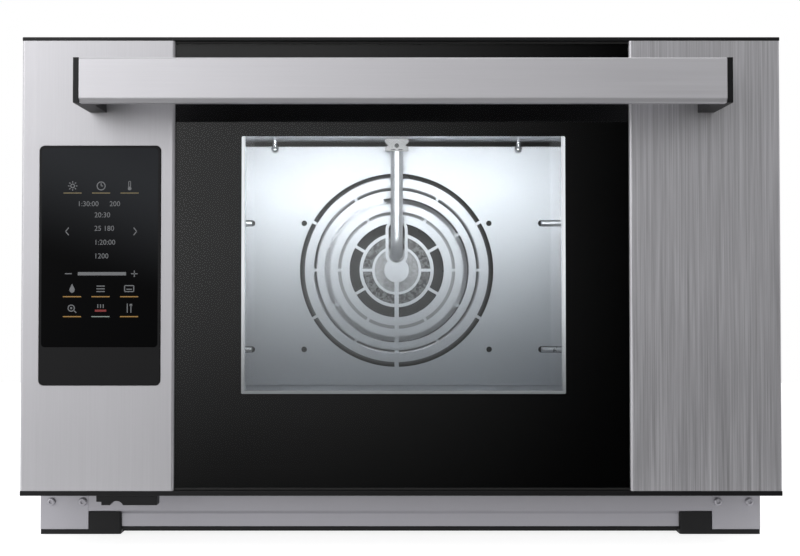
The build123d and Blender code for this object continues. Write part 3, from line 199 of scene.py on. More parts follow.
class Finish(Graph):
    """One material, laid out in metres on the object itself."""

    def __init__(self, name):
        self.material = bpy.data.materials.new(name)
        self.material.use_nodes = True
        super().__init__(self.material.node_tree)
        self.place = self.add("ShaderNodeTexCoord").outputs["Object"]
        self.out = self.add("ShaderNodeOutputMaterial")

    def noise(self, size, detail=2.0, roughness=0.5, distortion=0.0):
        """Noise from 0 to 1 whose grains have the given size in metres along X, Y and Z."""
        if not hasattr(size, "__len__"):
            size = (size, size, size)
        scaled = self.add(
            "ShaderNodeVectorMath",
            {"operation": "MULTIPLY"},
            {0: self.place, 1: [1 / extent for extent in size]},
        )
        inputs = {
            "Vector": scaled.outputs[0],
            "Scale": 1.0,
            "Detail": detail,
            "Roughness": roughness,
            "Distortion": distortion,
        }
        return Value(self, self.add("ShaderNodeTexNoise", inputs=inputs).outputs[0])

    def cells(self, size, feature="F1"):
        """Distance to the nearest of scattered points about a size apart."""
        inputs = {"Vector": self.place, "Scale": 1 / size}
        made = self.add("ShaderNodeTexVoronoi", {"feature": feature}, inputs)
        return Value(self, made.outputs[0])

    def shade(self, colour, value):
        """A colour made darker or lighter by a value that lies round 1."""
        grey = self.add("ShaderNodeCombineXYZ", inputs={0: value, 1: value, 2: value}).outputs[0]
        return self.mix(1.0, colour, grey, "MULTIPLY")

    def surface(self, colour, roughness, metallic=0.0, height=None, depth=0.02 * mm, **fixed):
        """Ends the material in one shader and gives the material."""
        inputs = {"Base Color": colour, "Roughness": roughness, "Metallic": metallic}
        if height is not None:
            inputs["Normal"] = self.bump(height, depth)
        for name, value in fixed.items():
            inputs[name.replace("_", " ").title().replace("Ior", "IOR")] = value
        shader = self.add("ShaderNodeBsdfPrincipled", inputs=inputs)
        self.tree.links.new(shader.outputs[0], self.out.inputs[0])
        return self.material

    def bump(self, height, depth):
        inputs = {"Height": height, "Distance": depth, "Strength": 1.0}
        return self.add("ShaderNodeBump", inputs=inputs).outputs[0]


# Finishes


def brushed(name, colour, along, roughness=0.46, hair=0.10, lane=0.10, broad=0.04, metallic=0.8):
    """Sheet metal brushed along one axis: fine hairs, short lanes and broad soft bands."""
    finish = Finish(name)

    def streak(width, length, detail):
        size = [width] * 3
        size[along] = length
        return finish.noise(size, detail, 0.6)

    hairs = streak(0.25 * mm, 50 * mm, 3.0)
    lanes = streak(1.3 * mm, 130 * mm, 3.0)
    bands = streak(22 * mm, 1400 * mm, 2.0)
    smudge = finish.noise(80 * mm, 3.0)
    tone = 1.0 + (hairs - 0.5) * (2 * hair) + (lanes - 0.5) * (4 * lane) + (bands - 0.5) * (4 * broad)
    rough = roughness + (lanes - 0.5) * 0.18 + (smudge - 0.5) * 0.10
    return finish.surface(finish.shade(colour, tone), rough, metallic, hairs + lanes, 0.006 * mm)


def satin(name, colour, roughness=0.42, metallic=1.0, grain=0.5 * mm, tone=0.05, depth=0.006 * mm):
    """Rolled sheet metal with a fine, even grain and faint handling marks."""
    finish = Finish(name)
    fine = finish.noise((grain, grain, grain * 4), 3.0, 0.65)
    cloud = finish.noise(60 * mm, 4.0, 0.6)
    marks = finish.noise((3 * mm, 3 * mm, 40 * mm), 2.0, 0.7, 0.4)
    shade = 1.0 + (cloud - 0.5) * (2 * tone) + (fine - 0.5) * tone
    rough = roughness + (cloud - 0.5) * 0.14 + (marks - 0.5) * 0.08
    return finish.surface(finish.shade(colour, shade), rough, metallic, fine, depth)


def polished(name, colour, roughness=0.16, wear=0.08, metallic=1.0):
    """Polished wire or tube with drawn lines and light rubbing."""
    finish = Finish(name)
    drawn = finish.noise((0.4 * mm, 14 * mm, 14 * mm), 3.0)
    rubbed = finish.noise(12 * mm, 4.0, 0.65)
    shade = 1.0 + (rubbed - 0.5) * 0.12
    rough = roughness + (rubbed - 0.5) * (2 * wear) + (drawn - 0.5) * 0.08
    return finish.surface(finish.shade(colour, shade), rough, metallic, drawn, 0.003 * mm)


def moulded(name, colour, roughness=0.42, pebble=0.35 * mm, depth=0.012 * mm, gloss=0.3):
    """Moulded plastic with a spark-eroded texture, slightly greyer where it is handled."""
    finish = Finish(name)
    grain = finish.noise(pebble, 2.0, 0.6)
    worn = finish.noise(26 * mm, 4.0, 0.6)
    shade = 1.0 + (worn - 0.5) * 0.5 + (grain - 0.5) * 0.25
    rough = roughness + (worn - 0.5) * 0.16 + (grain - 0.5) * 0.12
    return finish.surface(finish.shade(colour, shade), rough, 0.0, grain, depth, specular_ior_level=gloss)


def enamel(name, colour, roughness=0.12):
    """Fired black enamel, nearly even, with rare pinholes."""
    finish = Finish(name)
    cloud = finish.noise(45 * mm, 3.0, 0.6)
    dust = finish.cells(2.6 * mm)
    shade = 0.9 + cloud * 0.2 + (0.05 - dust).step(0.0, 0.05) * 0.5
    body = finish.shade(colour, shade)
    return finish.surface(body, roughness + (cloud - 0.5) * 0.06, 0.0, specular_ior_level=0.1)


def touch_glass_painted_reflection(name, low, high):
    """Black touch glass with a painted reflection: its colour fades along a slant from graphite at the top
    to black lower down.
    """
    finish = Finish(name)
    x, y, z = finish.split(finish.place)
    # painted reflection: a slanted graphite-to-black gradient in the base colour
    reflection_slant = z + x * 0.35
    painted_reflection = reflection_slant.step(low + 0.45 * (high - low) - 0.1, high - 0.09)
    body = finish.mix(painted_reflection, (0.0015, 0.0015, 0.0018), (0.032, 0.034, 0.038))
    dust = finish.cells(2.6 * mm)
    body = finish.shade(body, 1.0 + (0.06 - dust).step(0.0, 0.05) * 0.6)
    wiped = finish.noise((30 * mm, 30 * mm, 60 * mm), 4.0, 0.6)
    rough = 0.05 + wiped.step(0.5, 0.8) * 0.05
    return finish.surface(body, rough, 0.0, specular_ior_level=0.03)


def cavity_sheet(name, colour, guard_y, centre):
    """Satin stainless sheet; behind the fan guard, outside the fan's reach, it is painted near black and
    dulled: partly heat browning, partly painted shade for the dark space behind the guard.
    """
    finish = Finish(name)
    x, y, z = finish.split(finish.place)
    fine = finish.noise((0.5 * mm, 4 * mm, 0.5 * mm), 3.0, 0.65)
    cloud = finish.noise(50 * mm, 4.0, 0.6)
    across = x - centre.x
    rise = z - centre.z
    radius = (across * across + rise * rise).root()
    # painted shade with some heat browning: near black behind the guard, outside the fan
    heat_tint_and_painted_shade = (y + (cloud - 0.5) * 0.01).step(guard_y, guard_y + 6 * mm) * radius.step(102 * mm, 118 * mm)
    burnt_and_painted_shade = finish.mix(cloud.step(0.3, 0.7), (0.030, 0.028, 0.027), (0.055, 0.048, 0.043))
    body = finish.mix(heat_tint_and_painted_shade, finish.shade(colour, 0.96 + cloud * 0.08), burnt_and_painted_shade)
    rough = 0.34 + (cloud - 0.5) * 0.14 + heat_tint_and_painted_shade * 0.2
    return finish.surface(body, rough, 0.7 - heat_tint_and_painted_shade * 0.3, fine, 0.006 * mm)


def fan_sheet(name, centre):
    """Fan steel: clean near the hub and on the outer ring, sooty between them."""
    finish = Finish(name)
    x, y, z = finish.split(finish.place)
    across = x - centre.x
    rise = z - centre.z
    radius = (across * across + rise * rise).root()
    cloud = finish.noise(4 * mm, 3.0, 0.7)
    soot = radius.step(38 * mm, 43 * mm) - radius.step(60 * mm, 62 * mm)
    ring = radius.step(25 * mm, 29 * mm) - radius.step(60 * mm, 62 * mm)
    patchy = ring * (0.45 + cloud.step(0.4, 0.6) * 0.5)
    speckled = radius.step(60 * mm, 40 * mm) * (cloud - 0.5)
    clean = finish.shade((0.42, 0.42, 0.43), 0.9 + speckled * 0.9)
    body = finish.mix(soot.most(patchy), clean, (0.035, 0.034, 0.034))
    return finish.surface(body, 0.45, 0.5)


def rubber(name, colour, ribbed=False):
    """Matt rubber with a dusty bloom."""
    finish = Finish(name)
    bloom = finish.noise(9 * mm, 5.0, 0.7)
    grain = finish.noise(0.5 * mm, 2.0)
    shade = 1.0 + (bloom - 0.5) * 0.6
    height = grain
    if ribbed:
        x, y, z = finish.split(finish.place)
        height = (x + y + z).wave(3 * mm) + grain * 0.3
    return finish.surface(finish.shade(colour, shade), 0.72 + (bloom - 0.5) * 0.2, 0.0, height, 0.05 * mm)


def wool(name, colour):
    """Matted mineral wool fibres."""
    finish = Finish(name)
    fibres = finish.noise((0.6 * mm, 6 * mm, 2 * mm), 5.0, 0.7, 1.2)
    clumps = finish.noise(14 * mm, 4.0, 0.6, 0.5)
    dark = [channel * 0.45 for channel in colour]
    body = finish.mix(clumps.step(0.3, 0.75), dark, colour)
    shade = 0.75 + fibres * 0.5
    return finish.surface(finish.shade(body, shade), 0.95, 0.0, fibres + clumps * 2.0, 0.6 * mm)


def circuit(name, colour):
    """Green board with copper tracks under its lacquer, and solder pads."""
    finish = Finish(name)
    x, y, z = finish.split(finish.place)
    tracks = (abs(finish.noise((9 * mm, 400 * mm, 30 * mm), 0.0) - 0.5)).step(0.035, 0.02)
    lanes = (x.wave(2.6 * mm)).step(0.72, 0.8) * finish.noise(22 * mm, 1.0).step(0.52, 0.56)
    pads = finish.cells(4.4 * mm).step(0.16, 0.12)
    pale = [channel * 1.7 + 0.01 for channel in colour]
    body = finish.mix(tracks.most(lanes), colour, pale)
    body = finish.mix(pads, body, (0.62, 0.60, 0.55))
    return finish.surface(body, 0.36 - pads * 0.1, pads * 0.7, tracks + lanes, 0.03 * mm)


def heat_darkened(name, colour):
    """A tubular heater's skin, blued and browned in bands by heat."""
    finish = Finish(name)
    x, y, z = finish.split(finish.place)
    bands = finish.noise((16 * mm, 16 * mm, 9 * mm), 3.0, 0.6)
    blue = (0.10, 0.13, 0.20)
    brown = (0.26, 0.17, 0.10)
    body = finish.mix(bands.step(0.35, 0.65), blue, brown)
    body = finish.mix(0.85, body, colour)
    scale = finish.noise(0.7 * mm, 3.0)
    return finish.surface(body, 0.38 + (bands - 0.5) * 0.3, 0.9, scale, 0.01 * mm)


def clear(name, tint):
    """Float glass: see-through, reflecting more at a slant, dulled a little where it was wiped."""
    finish = Finish(name)
    gloss = finish.add("ShaderNodeBsdfGlossy", inputs={"Color": white, "Roughness": 0.0})
    through = finish.add("ShaderNodeBsdfTransparent", inputs={"Color": tint})
    wiped = finish.noise((60 * mm, 60 * mm, 25 * mm), 3.0, 0.6)
    slant = Value(finish, finish.add("ShaderNodeFresnel", inputs={"IOR": 1.45}).outputs[0])
    slant = slant * (0.97 + wiped * 0.06)
    inputs = {0: slant, 1: through.outputs[0], 2: gloss.outputs[0]}
    made = finish.add("ShaderNodeMixShader", inputs=inputs)
    finish.tree.links.new(made.outputs[0], finish.out.inputs[0])
    return finish.material


def glow_with_painted_shade(name, colour, strength, low, high):
    """A pale diffuser lit from inside, with painted light and shade: its glow and its colour are painted
    bright at the top and darker towards the bottom.
    """
    finish = Finish(name)
    x, y, z = finish.split(finish.place)
    cloud = finish.noise(30 * mm, 2.0)
    # painted light and shade: glow and colour fall to 0.14 of full below low, following the cavity's
    # lighting
    level = (0.96 + cloud * 0.08) * (0.14 + z.step(low, high) * 0.86)
    body = finish.shade(colour, level * 0.7 + 0.3)
    light = finish.shade(colour, level)
    return finish.surface(body, 0.5, 0.0, emission_color=light, emission_strength=strength)


def printed(name, colour, strength=0.0):
    """A lit or printed mark on the touch glass."""
    finish = Finish(name)
    dots = finish.noise(0.25 * mm, 1.0)
    body = finish.shade(colour, 0.92 + dots * 0.16)
    return finish.surface(body, 0.3, 0.0, emission_color=body, emission_strength=strength)


# Mesh helpers


def dress(names, finish):
    """Gives CAD nodes one finish."""
    for name in names:
        mesh = nodes[name].data
        if not mesh.materials:
            mesh.materials.append(finish)
        for index in range(len(mesh.materials)):
            mesh.materials[index] = finish


def link(name, mesh, body, finish):
    """Adds a piece that rides on a body."""
    piece = bpy.data.objects.new(name, mesh)
    bpy.context.scene.collection.objects.link(piece)
    mesh.materials.clear()
    mesh.materials.append(finish)
    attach(piece, body)
    return piece


def shade_smooth(mesh, angle=35):
    mesh.polygons.foreach_set("use_smooth", [True] * len(mesh.polygons))
    mesh.set_sharp_from_angle(angle=math.radians(angle))


def soften(name, radius, finish, segments=2, angle=28):
    """Replaces a CAD node by a copy of it with its sharp edges rounded."""
    source = nodes[name]
    form = bmesh.new()
    form.from_mesh(source.data)
    bmesh.ops.remove_doubles(form, verts=form.verts, dist=0.002 * mm)
    bmesh.ops.dissolve_limit(form, angle_limit=math.radians(0.4), verts=form.verts, edges=form.edges)
    for face in form.faces:
        face.smooth = True
    mesh = bpy.data.meshes.new(name + "_soft")
    form.to_mesh(mesh)
    form.free()
    for attribute in ("custom_normal", "sharp_edge", "sharp_face"):
        if attribute in mesh.attributes:
            mesh.attributes.remove(mesh.attributes[attribute])
    shaped = bpy.data.objects.new(name + "_shaping", mesh)
    bpy.context.scene.collection.objects.link(shaped)
    bevel = shaped.modifiers.new("Edges", "BEVEL")
    bevel.width = radius
    bevel.segments = segments
    bevel.limit_method = "ANGLE"
    bevel.angle_limit = math.radians(angle)
    bevel.harden_normals = False
    bevel.use_clamp_overlap = True
    flat = shaped.modifiers.new("Flat faces", "WEIGHTED_NORMAL")
    flat.weight = 100
    bpy.context.view_layer.update()
    made = bpy.data.meshes.new_from_object(shaped.evaluated_get(bpy.context.evaluated_depsgraph_get()))
    bpy.data.objects.remove(shaped)
    made.name = name + "_soft"
    piece = link(name + "_soft", made, source["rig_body"], finish)
    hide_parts(name)
    return piece


def bead(name, x, y, z, radius, body, finish):
    """A straight bar with rounded edges between its low and high ends along each axis."""
    form = bmesh.new()
    corners = [form.verts.new((a, b, c)) for a in sorted(x) for b in sorted(y) for c in sorted(z)]
    for face in ((0, 1, 3, 2), (4, 6, 7, 5), (0, 4, 5, 1), (2, 3, 7, 6), (0, 2, 6, 4), (1, 5, 7, 3)):
        form.faces.new([corners[index] for index in face])
    bmesh.ops.recalc_face_normals(form, faces=form.faces)
    bmesh.ops.bevel(form, geom=form.edges, offset=radius, segments=3, profile=0.5, affect="EDGES")
    mesh = bpy.data.meshes.new(name)
    form.to_mesh(mesh)
    form.free()
    shade_smooth(mesh)
    return link(name, mesh, body, finish)


# Settings


def colour(name, about, default):
    return FloatVectorProperty(name=name, description=about, subtype="COLOR", default=default)


def length(name, about, default):
    return FloatProperty(name=name, description=about, unit="LENGTH", default=default)


class OvenColours(bpy.types.PropertyGroup):
    """Colours of the oven's finishes."""

    door_steel: colour("Door steel", "Brushed panels beside the door's glass", (0.598, 0.592, 0.62))
    base_steel: colour("Base steel", "Base rails and corner plates", (0.455, 0.448, 0.485))
    casing_steel: colour("Casing", "Side panels, cover and rear panel", (0.42, 0.42, 0.43))
    cavity_steel: colour("Cavity", "Walls of the baking space", paint["cavity_steel"])
    guard_steel: colour("Fan guard", "Slotted panel before the fan", paint["guard_steel"])
    wire_steel: colour("Rack wire", "Tray racks and guard hooks", paint["wire_steel"])
    handle_metal: colour("Handle", "Flat bar across the door", (0.69, 0.682, 0.715))
    glass_tint: colour("Glass tint", "Light let through by each pane", (0.94, 0.955, 0.96))
    icon_grey: colour("Icons", "Icons and numbers on the touch panel", (0.17, 0.175, 0.185))
    icon_gold: colour("First lines", "Lines under the first row of icons", (0.19, 0.15, 0.07))
    icon_amber: colour("Lower lines", "Lines under the lower rows of icons", (0.40, 0.22, 0.05))
    icon_red: colour("Warm mark", "Red mark in the last row of icons", (0.24, 0.015, 0.015))


class OvenSizes(bpy.types.PropertyGroup):
    """Sizes of what is added to the oven's parts."""

    edge: length("Sheet edge rounding", "Radius of folded and cut sheet edges", 0.35 * mm)
    plastic_edge: length("Plastic edge rounding", "Radius of moulded plastic edges", 0.6 * mm)
    handle_edge: length("Handle edge rounding", "Radius of the handle bar's edges", 0.9 * mm)
    print_height: length("Print thickness", "Height of the marks on the touch glass", 0.08 * mm)
    icon_size: length("Icon size", "Height of an icon", 7.2 * mm)
    icon_stroke: length("Icon line width", "Width of an icon's lines", 0.75 * mm)
    number_height: length("Number height", "Height of the touch panel's numbers", 4.0 * mm)
    lens: FloatProperty(name="Lens", description="The camera's focal length", unit="CAMERA", default=51.33)


# Control panel prints


class Drawing:
    """Flat marks on the touch glass, drawn in X and Z and raised towards the front."""

    def __init__(self, y, height):
        self.form = bmesh.new()
        self.y = y
        self.height = height

    def outline(self, points):
        back = [self.form.verts.new((x, self.y, z)) for x, z in points]
        front = [self.form.verts.new((x, self.y - self.height, z)) for x, z in points]
        self.form.faces.new(front)
        for index in range(len(points)):
            following = (index + 1) % len(points)
            self.form.faces.new((back[index], back[following], front[following], front[index]))

    def bar(self, x, z, wide, high):
        w = wide / 2
        h = high / 2
        self.outline([(x - w, z - h), (x + w, z - h), (x + w, z + h), (x - w, z + h)])

    def stroke(self, start, end, width):
        """A straight line with square ends."""
        a = Vector(start)
        b = Vector(end)
        side = Vector((-(b - a).y, (b - a).x)).normalized() * width / 2
        self.outline([tuple(a - side), tuple(b - side), tuple(b + side), tuple(a + side)])

    def path(self, points, width):
        for start, end in zip(points, points[1:]):
            self.stroke(start, end, width)

    def disc(self, x, z, radius, points=20):
        turns = [2 * math.pi * index / points for index in range(points)]
        self.outline([(x + radius * math.cos(turn), z + radius * math.sin(turn)) for turn in turns])

    def ring(self, x, z, radius, width, start=0, end=360, points=24):
        """An arc of the given width between two angles."""
        turns = [math.radians(start + (end - start) * index / points) for index in range(points + 1)]
        near = radius - width / 2
        far = radius + width / 2
        for a, b in zip(turns, turns[1:]):
            corners = [(near, a), (far, a), (far, b), (near, b)]
            self.outline([(x + r * math.cos(turn), z + r * math.sin(turn)) for r, turn in corners])

    def finish(self, name, body, slot, material):
        bmesh.ops.remove_doubles(self.form, verts=self.form.verts, dist=0.001 * mm)
        bmesh.ops.recalc_face_normals(self.form, faces=self.form.faces)
        mesh = bpy.data.meshes.new(name)
        self.form.to_mesh(mesh)
        self.form.free()
        return link(name, mesh, body, material)


def number(text, x, z, height, y, thickness, name, material):
    """A plain number set on the touch glass with its left end at a place."""
    curve = bpy.data.curves.new(name, "FONT")
    curve.body = text
    curve.size = height / 0.7
    curve.resolution_u = 4
    shown = bpy.data.objects.new(name + "_text", curve)
    bpy.context.scene.collection.objects.link(shown)
    bpy.context.view_layer.update()
    mesh = bpy.data.meshes.new_from_object(shown.evaluated_get(bpy.context.evaluated_depsgraph_get()))
    bpy.data.objects.remove(shown)
    mesh.name = name
    place = Matrix.Translation((x, y - thickness, z - height / 2))
    mesh.transform(place @ Matrix.Rotation(math.pi / 2, 4, "X"))
    return link(name, mesh, "door", material)


# Operators, one for each group of pieces


class OvenOperator(bpy.types.Operator):
    """A step of the oven's making."""

    bl_idname = "oven.step"
    bl_label = "Oven step"

    def execute(self, context):
        scene = context.scene
        self.build(scene.oven_sizes, scene.oven_colours)
        return {"FINISHED"}


class OVEN_OT_stage(OvenOperator):
    """Camera, floor, world and lamps"""

    bl_idname = "oven.stage"
    bl_label = "Stage"

    camera_place = (-0.0107, -1.1845, 0.2075)
    camera_pitch = math.radians(91.2)
    camera_shift = (0.0156, -0.0211)
    floor_reach = 1.3
    floor_front = 0.01
    floor_back = 0.9
    floor_colour = (0.50, 0.50, 0.50)
    floor_glow = (0.83, 0.83, 0.83)
    studio_lamps = {
        "key": ((-1.25, -1.35, 0.95), (0, -0.2, 0.2), 1.3, 3.5),
        "fill": ((1.3, -1.5, 0.55), (0, -0.2, 0.2), 0.9, 1.2),
        "top": ((0.0, 0.1, 1.6), (0, 0, 0.3), 1.2, 3),
        "back_left": ((-1.2, 1.5, 0.9), (0, 0.1, 0.2), 1.0, 8),
    }

    def build(self, sizes, colours):
        self.camera(sizes)
        self.floor()
        self.world()
        self.lamps()

    def camera(self, sizes):
        camera = bpy.data.objects.new("camera", bpy.data.cameras.new("camera"))
        bpy.context.scene.collection.objects.link(camera)
        camera.location = self.camera_place
        camera.rotation_euler = (self.camera_pitch, 0, 0)
        camera.data.sensor_width = 36.0
        camera.data.lens = sizes.lens
        camera.data.shift_x, camera.data.shift_y = self.camera_shift
        bpy.context.scene.camera = camera
        bpy.context.scene.view_settings.view_transform = "Standard"

    def floor(self):
        form = bmesh.new()
        near = cad_box[0].y - self.floor_front
        far = cad_box[1].y + self.floor_back
        reach = self.floor_reach
        corners = [(-reach, near), (reach, near), (reach, far), (-reach, far)]
        form.faces.new([form.verts.new((x, y, 0.0)) for x, y in corners])
        mesh = bpy.data.meshes.new("floor")
        form.to_mesh(mesh)
        form.free()
        floor = bpy.data.objects.new("floor", mesh)
        bpy.context.scene.collection.objects.link(floor)
        finish = Finish("floor_white")
        path = finish.add("ShaderNodeLightPath").outputs
        seen = Value(finish, path["Is Camera Ray"]).most(Value(finish, path["Is Glossy Ray"]))
        seen = seen.most(Value(finish, path["Is Transmission Ray"]))
        speck = finish.noise(4 * mm, 3.0)
        body = finish.shade(self.floor_colour, 0.99 + speck * 0.02)
        glow = finish.mix(seen, black, self.floor_glow)
        mesh.materials.append(finish.surface(body, 0.8, 0.0, emission_color=glow, emission_strength=1.0))

    def world(self):
        world = bpy.data.worlds.new("studio")
        bpy.context.scene.world = world
        world.use_nodes = True
        graph = Graph(world.node_tree)
        path = graph.add("ShaderNodeLightPath").outputs
        x, y, z = graph.split(graph.add("ShaderNodeTexCoord").outputs["Generated"])
        ahead = (-y).most(0.05)
        across = x / ahead
        up = z / ahead
        height = 0.10 + up.step(-0.22, 0.06) * 0.56
        side = (-across).step(-0.26, 0.16) * 1.3
        far_left = 1.0 - (-across).step(0.9, 2.0) * 0.5
        left_wall = (-across).step(0.12, 0.45) * (0.15 + up.step(-0.3, 0.05) * 1.15) * far_left
        right_wall = across.step(0.35, 0.9) * 0.04 + across.step(1.2, 2.5) * 0.5
        ceiling = up.step(0.25, 0.7) * 0.4
        overhead = 1.0 - up.step(0.5, 1.5) * 0.8
        studio = (height * side + left_wall + right_wall + ceiling) * overhead
        behind = y.step(-0.02, 0.10)
        reflected = studio * (1.0 - behind) + behind
        glossy = Value(graph, path["Is Glossy Ray"])
        camera = Value(graph, path["Is Camera Ray"]).most(Value(graph, path["Is Transmission Ray"]))
        plain = 0.55 + z.step(-0.5, 0.1) * 0.22
        level = glossy * reflected + (1.0 - glossy) * plain
        level = camera + (1.0 - camera) * level
        back = graph.add("ShaderNodeBackground", inputs={"Color": white, "Strength": level})
        out = graph.add("ShaderNodeOutputWorld")
        graph.tree.links.new(back.outputs[0], out.inputs[0])

    def lamps(self):
        for name, (place, aim, size, power) in self.studio_lamps.items():
            self.lamp(name, place, aim, size, power)
        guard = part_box("fan_guard")
        mouth_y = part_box("front_fascia")[1].y + 0.03
        place = (0.0, mouth_y, guard[1].z - 0.003)
        aim = (0.0, guard[0].y, guard[1].z - 0.05)
        inner = self.lamp("cavity", place, aim, 0.45, 0.58, 0.05)
        inner.data.spread = math.radians(70)
        inner.visible_camera = False
        centre = self.fan_z()
        self.lamp("behind_guard", (0, guard[0].y + 0.004, centre), (0, 0.3, centre), 0.22, 0.06)

    def fan_z(self):
        low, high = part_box("fan_wheel")
        return (low.z + high.z) / 2

    def lamp(self, name, place, aim, size, power, width=None):
        lamp = bpy.data.lights.new(name, "AREA")
        lamp.energy = power
        lamp.size = size
        if width:
            lamp.shape = "RECTANGLE"
            lamp.size_y = width
        held = bpy.data.objects.new(name, lamp)
        bpy.context.scene.collection.objects.link(held)
        held.location = place
        held.rotation_euler = (Vector(aim) - Vector(place)).to_track_quat("-Z", "Y").to_euler()
        return held


class OVEN_OT_door_panels(OvenOperator):
    """The brushed steel panels at the door's sides"""

    bl_idname = "oven.door_panels"
    bl_label = "Door panels"

    def build(self, sizes, colours):
        left = brushed("door_steel_left", colours.door_steel, 2, hair=0.05, lane=0.035, broad=0.015)
        right = brushed("door_steel_right", colours.door_steel, 2, hair=0.24, lane=0.24, broad=0.06)
        dress(["door_panel_left"], left)
        dress(["door_panel_right"], right)


class OVEN_OT_door_glass(OvenOperator):
    """The door's panes, the enamel round the window and its pale light frame"""

    bl_idname = "oven.door_glass"
    bl_label = "Door glass"

    def build(self, sizes, colours):
        glass = clear("clear_glass", colours.glass_tint)
        dress(["door_outer_glass", "door_inner_glass"], glass)
        dress(["glass_enamel"], enamel("black_enamel", (0.002, 0.002, 0.0022)))
        frame_low, frame_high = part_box("window_light_frame")
        # top of the light frame's painted light; below it the painted shade deepens towards the bottom
        middle = frame_low.z + 0.55 * (frame_high.z - frame_low.z)
        pale = glow_with_painted_shade("pale_light", paint["pale_light"], 0.75, frame_low.z, middle)
        dress(["window_light_frame"], pale)
        self.seals()

    def seals(self):
        """Black sealant beads over the frame's edges above and below the outer glass."""
        sealant = rubber("glass_sealant", (0.004, 0.004, 0.004))
        pane_low, pane_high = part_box("door_outer_glass")
        frame_low, frame_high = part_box("door_frame")
        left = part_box("door_panel_left")[1].x
        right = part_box("door_panel_right")[0].x
        depth = (pane_low.y - 0.9 * mm, pane_low.y + 0.2 * mm)
        below = (frame_low.z, pane_low.z + 0.6 * mm)
        above = (pane_high.z - 0.6 * mm, frame_high.z)
        for name, z in (("low", below), ("high", above)):
            bead("glass_seal_" + name, (left, right), depth, z, 0.4 * mm, "door", sealant)


class OVEN_OT_handle(OvenOperator):
    """The flat handle bar, its black ends and their screws"""

    bl_idname = "oven.handle"
    bl_label = "Handle"

    def build(self, sizes, colours):
        metal = brushed("handle_metal", colours.handle_metal, 0, 0.46, 0.04, 0.02, 0.01, 0.7)
        soften("handle_bar", sizes.handle_edge, metal, 3)
        soften("handle_ends", sizes.plastic_edge, moulded("handle_end_plastic", dark, 0.38))
        dress(["handle_screws"], satin("screw_steel", paint["screw_steel"], 0.4))


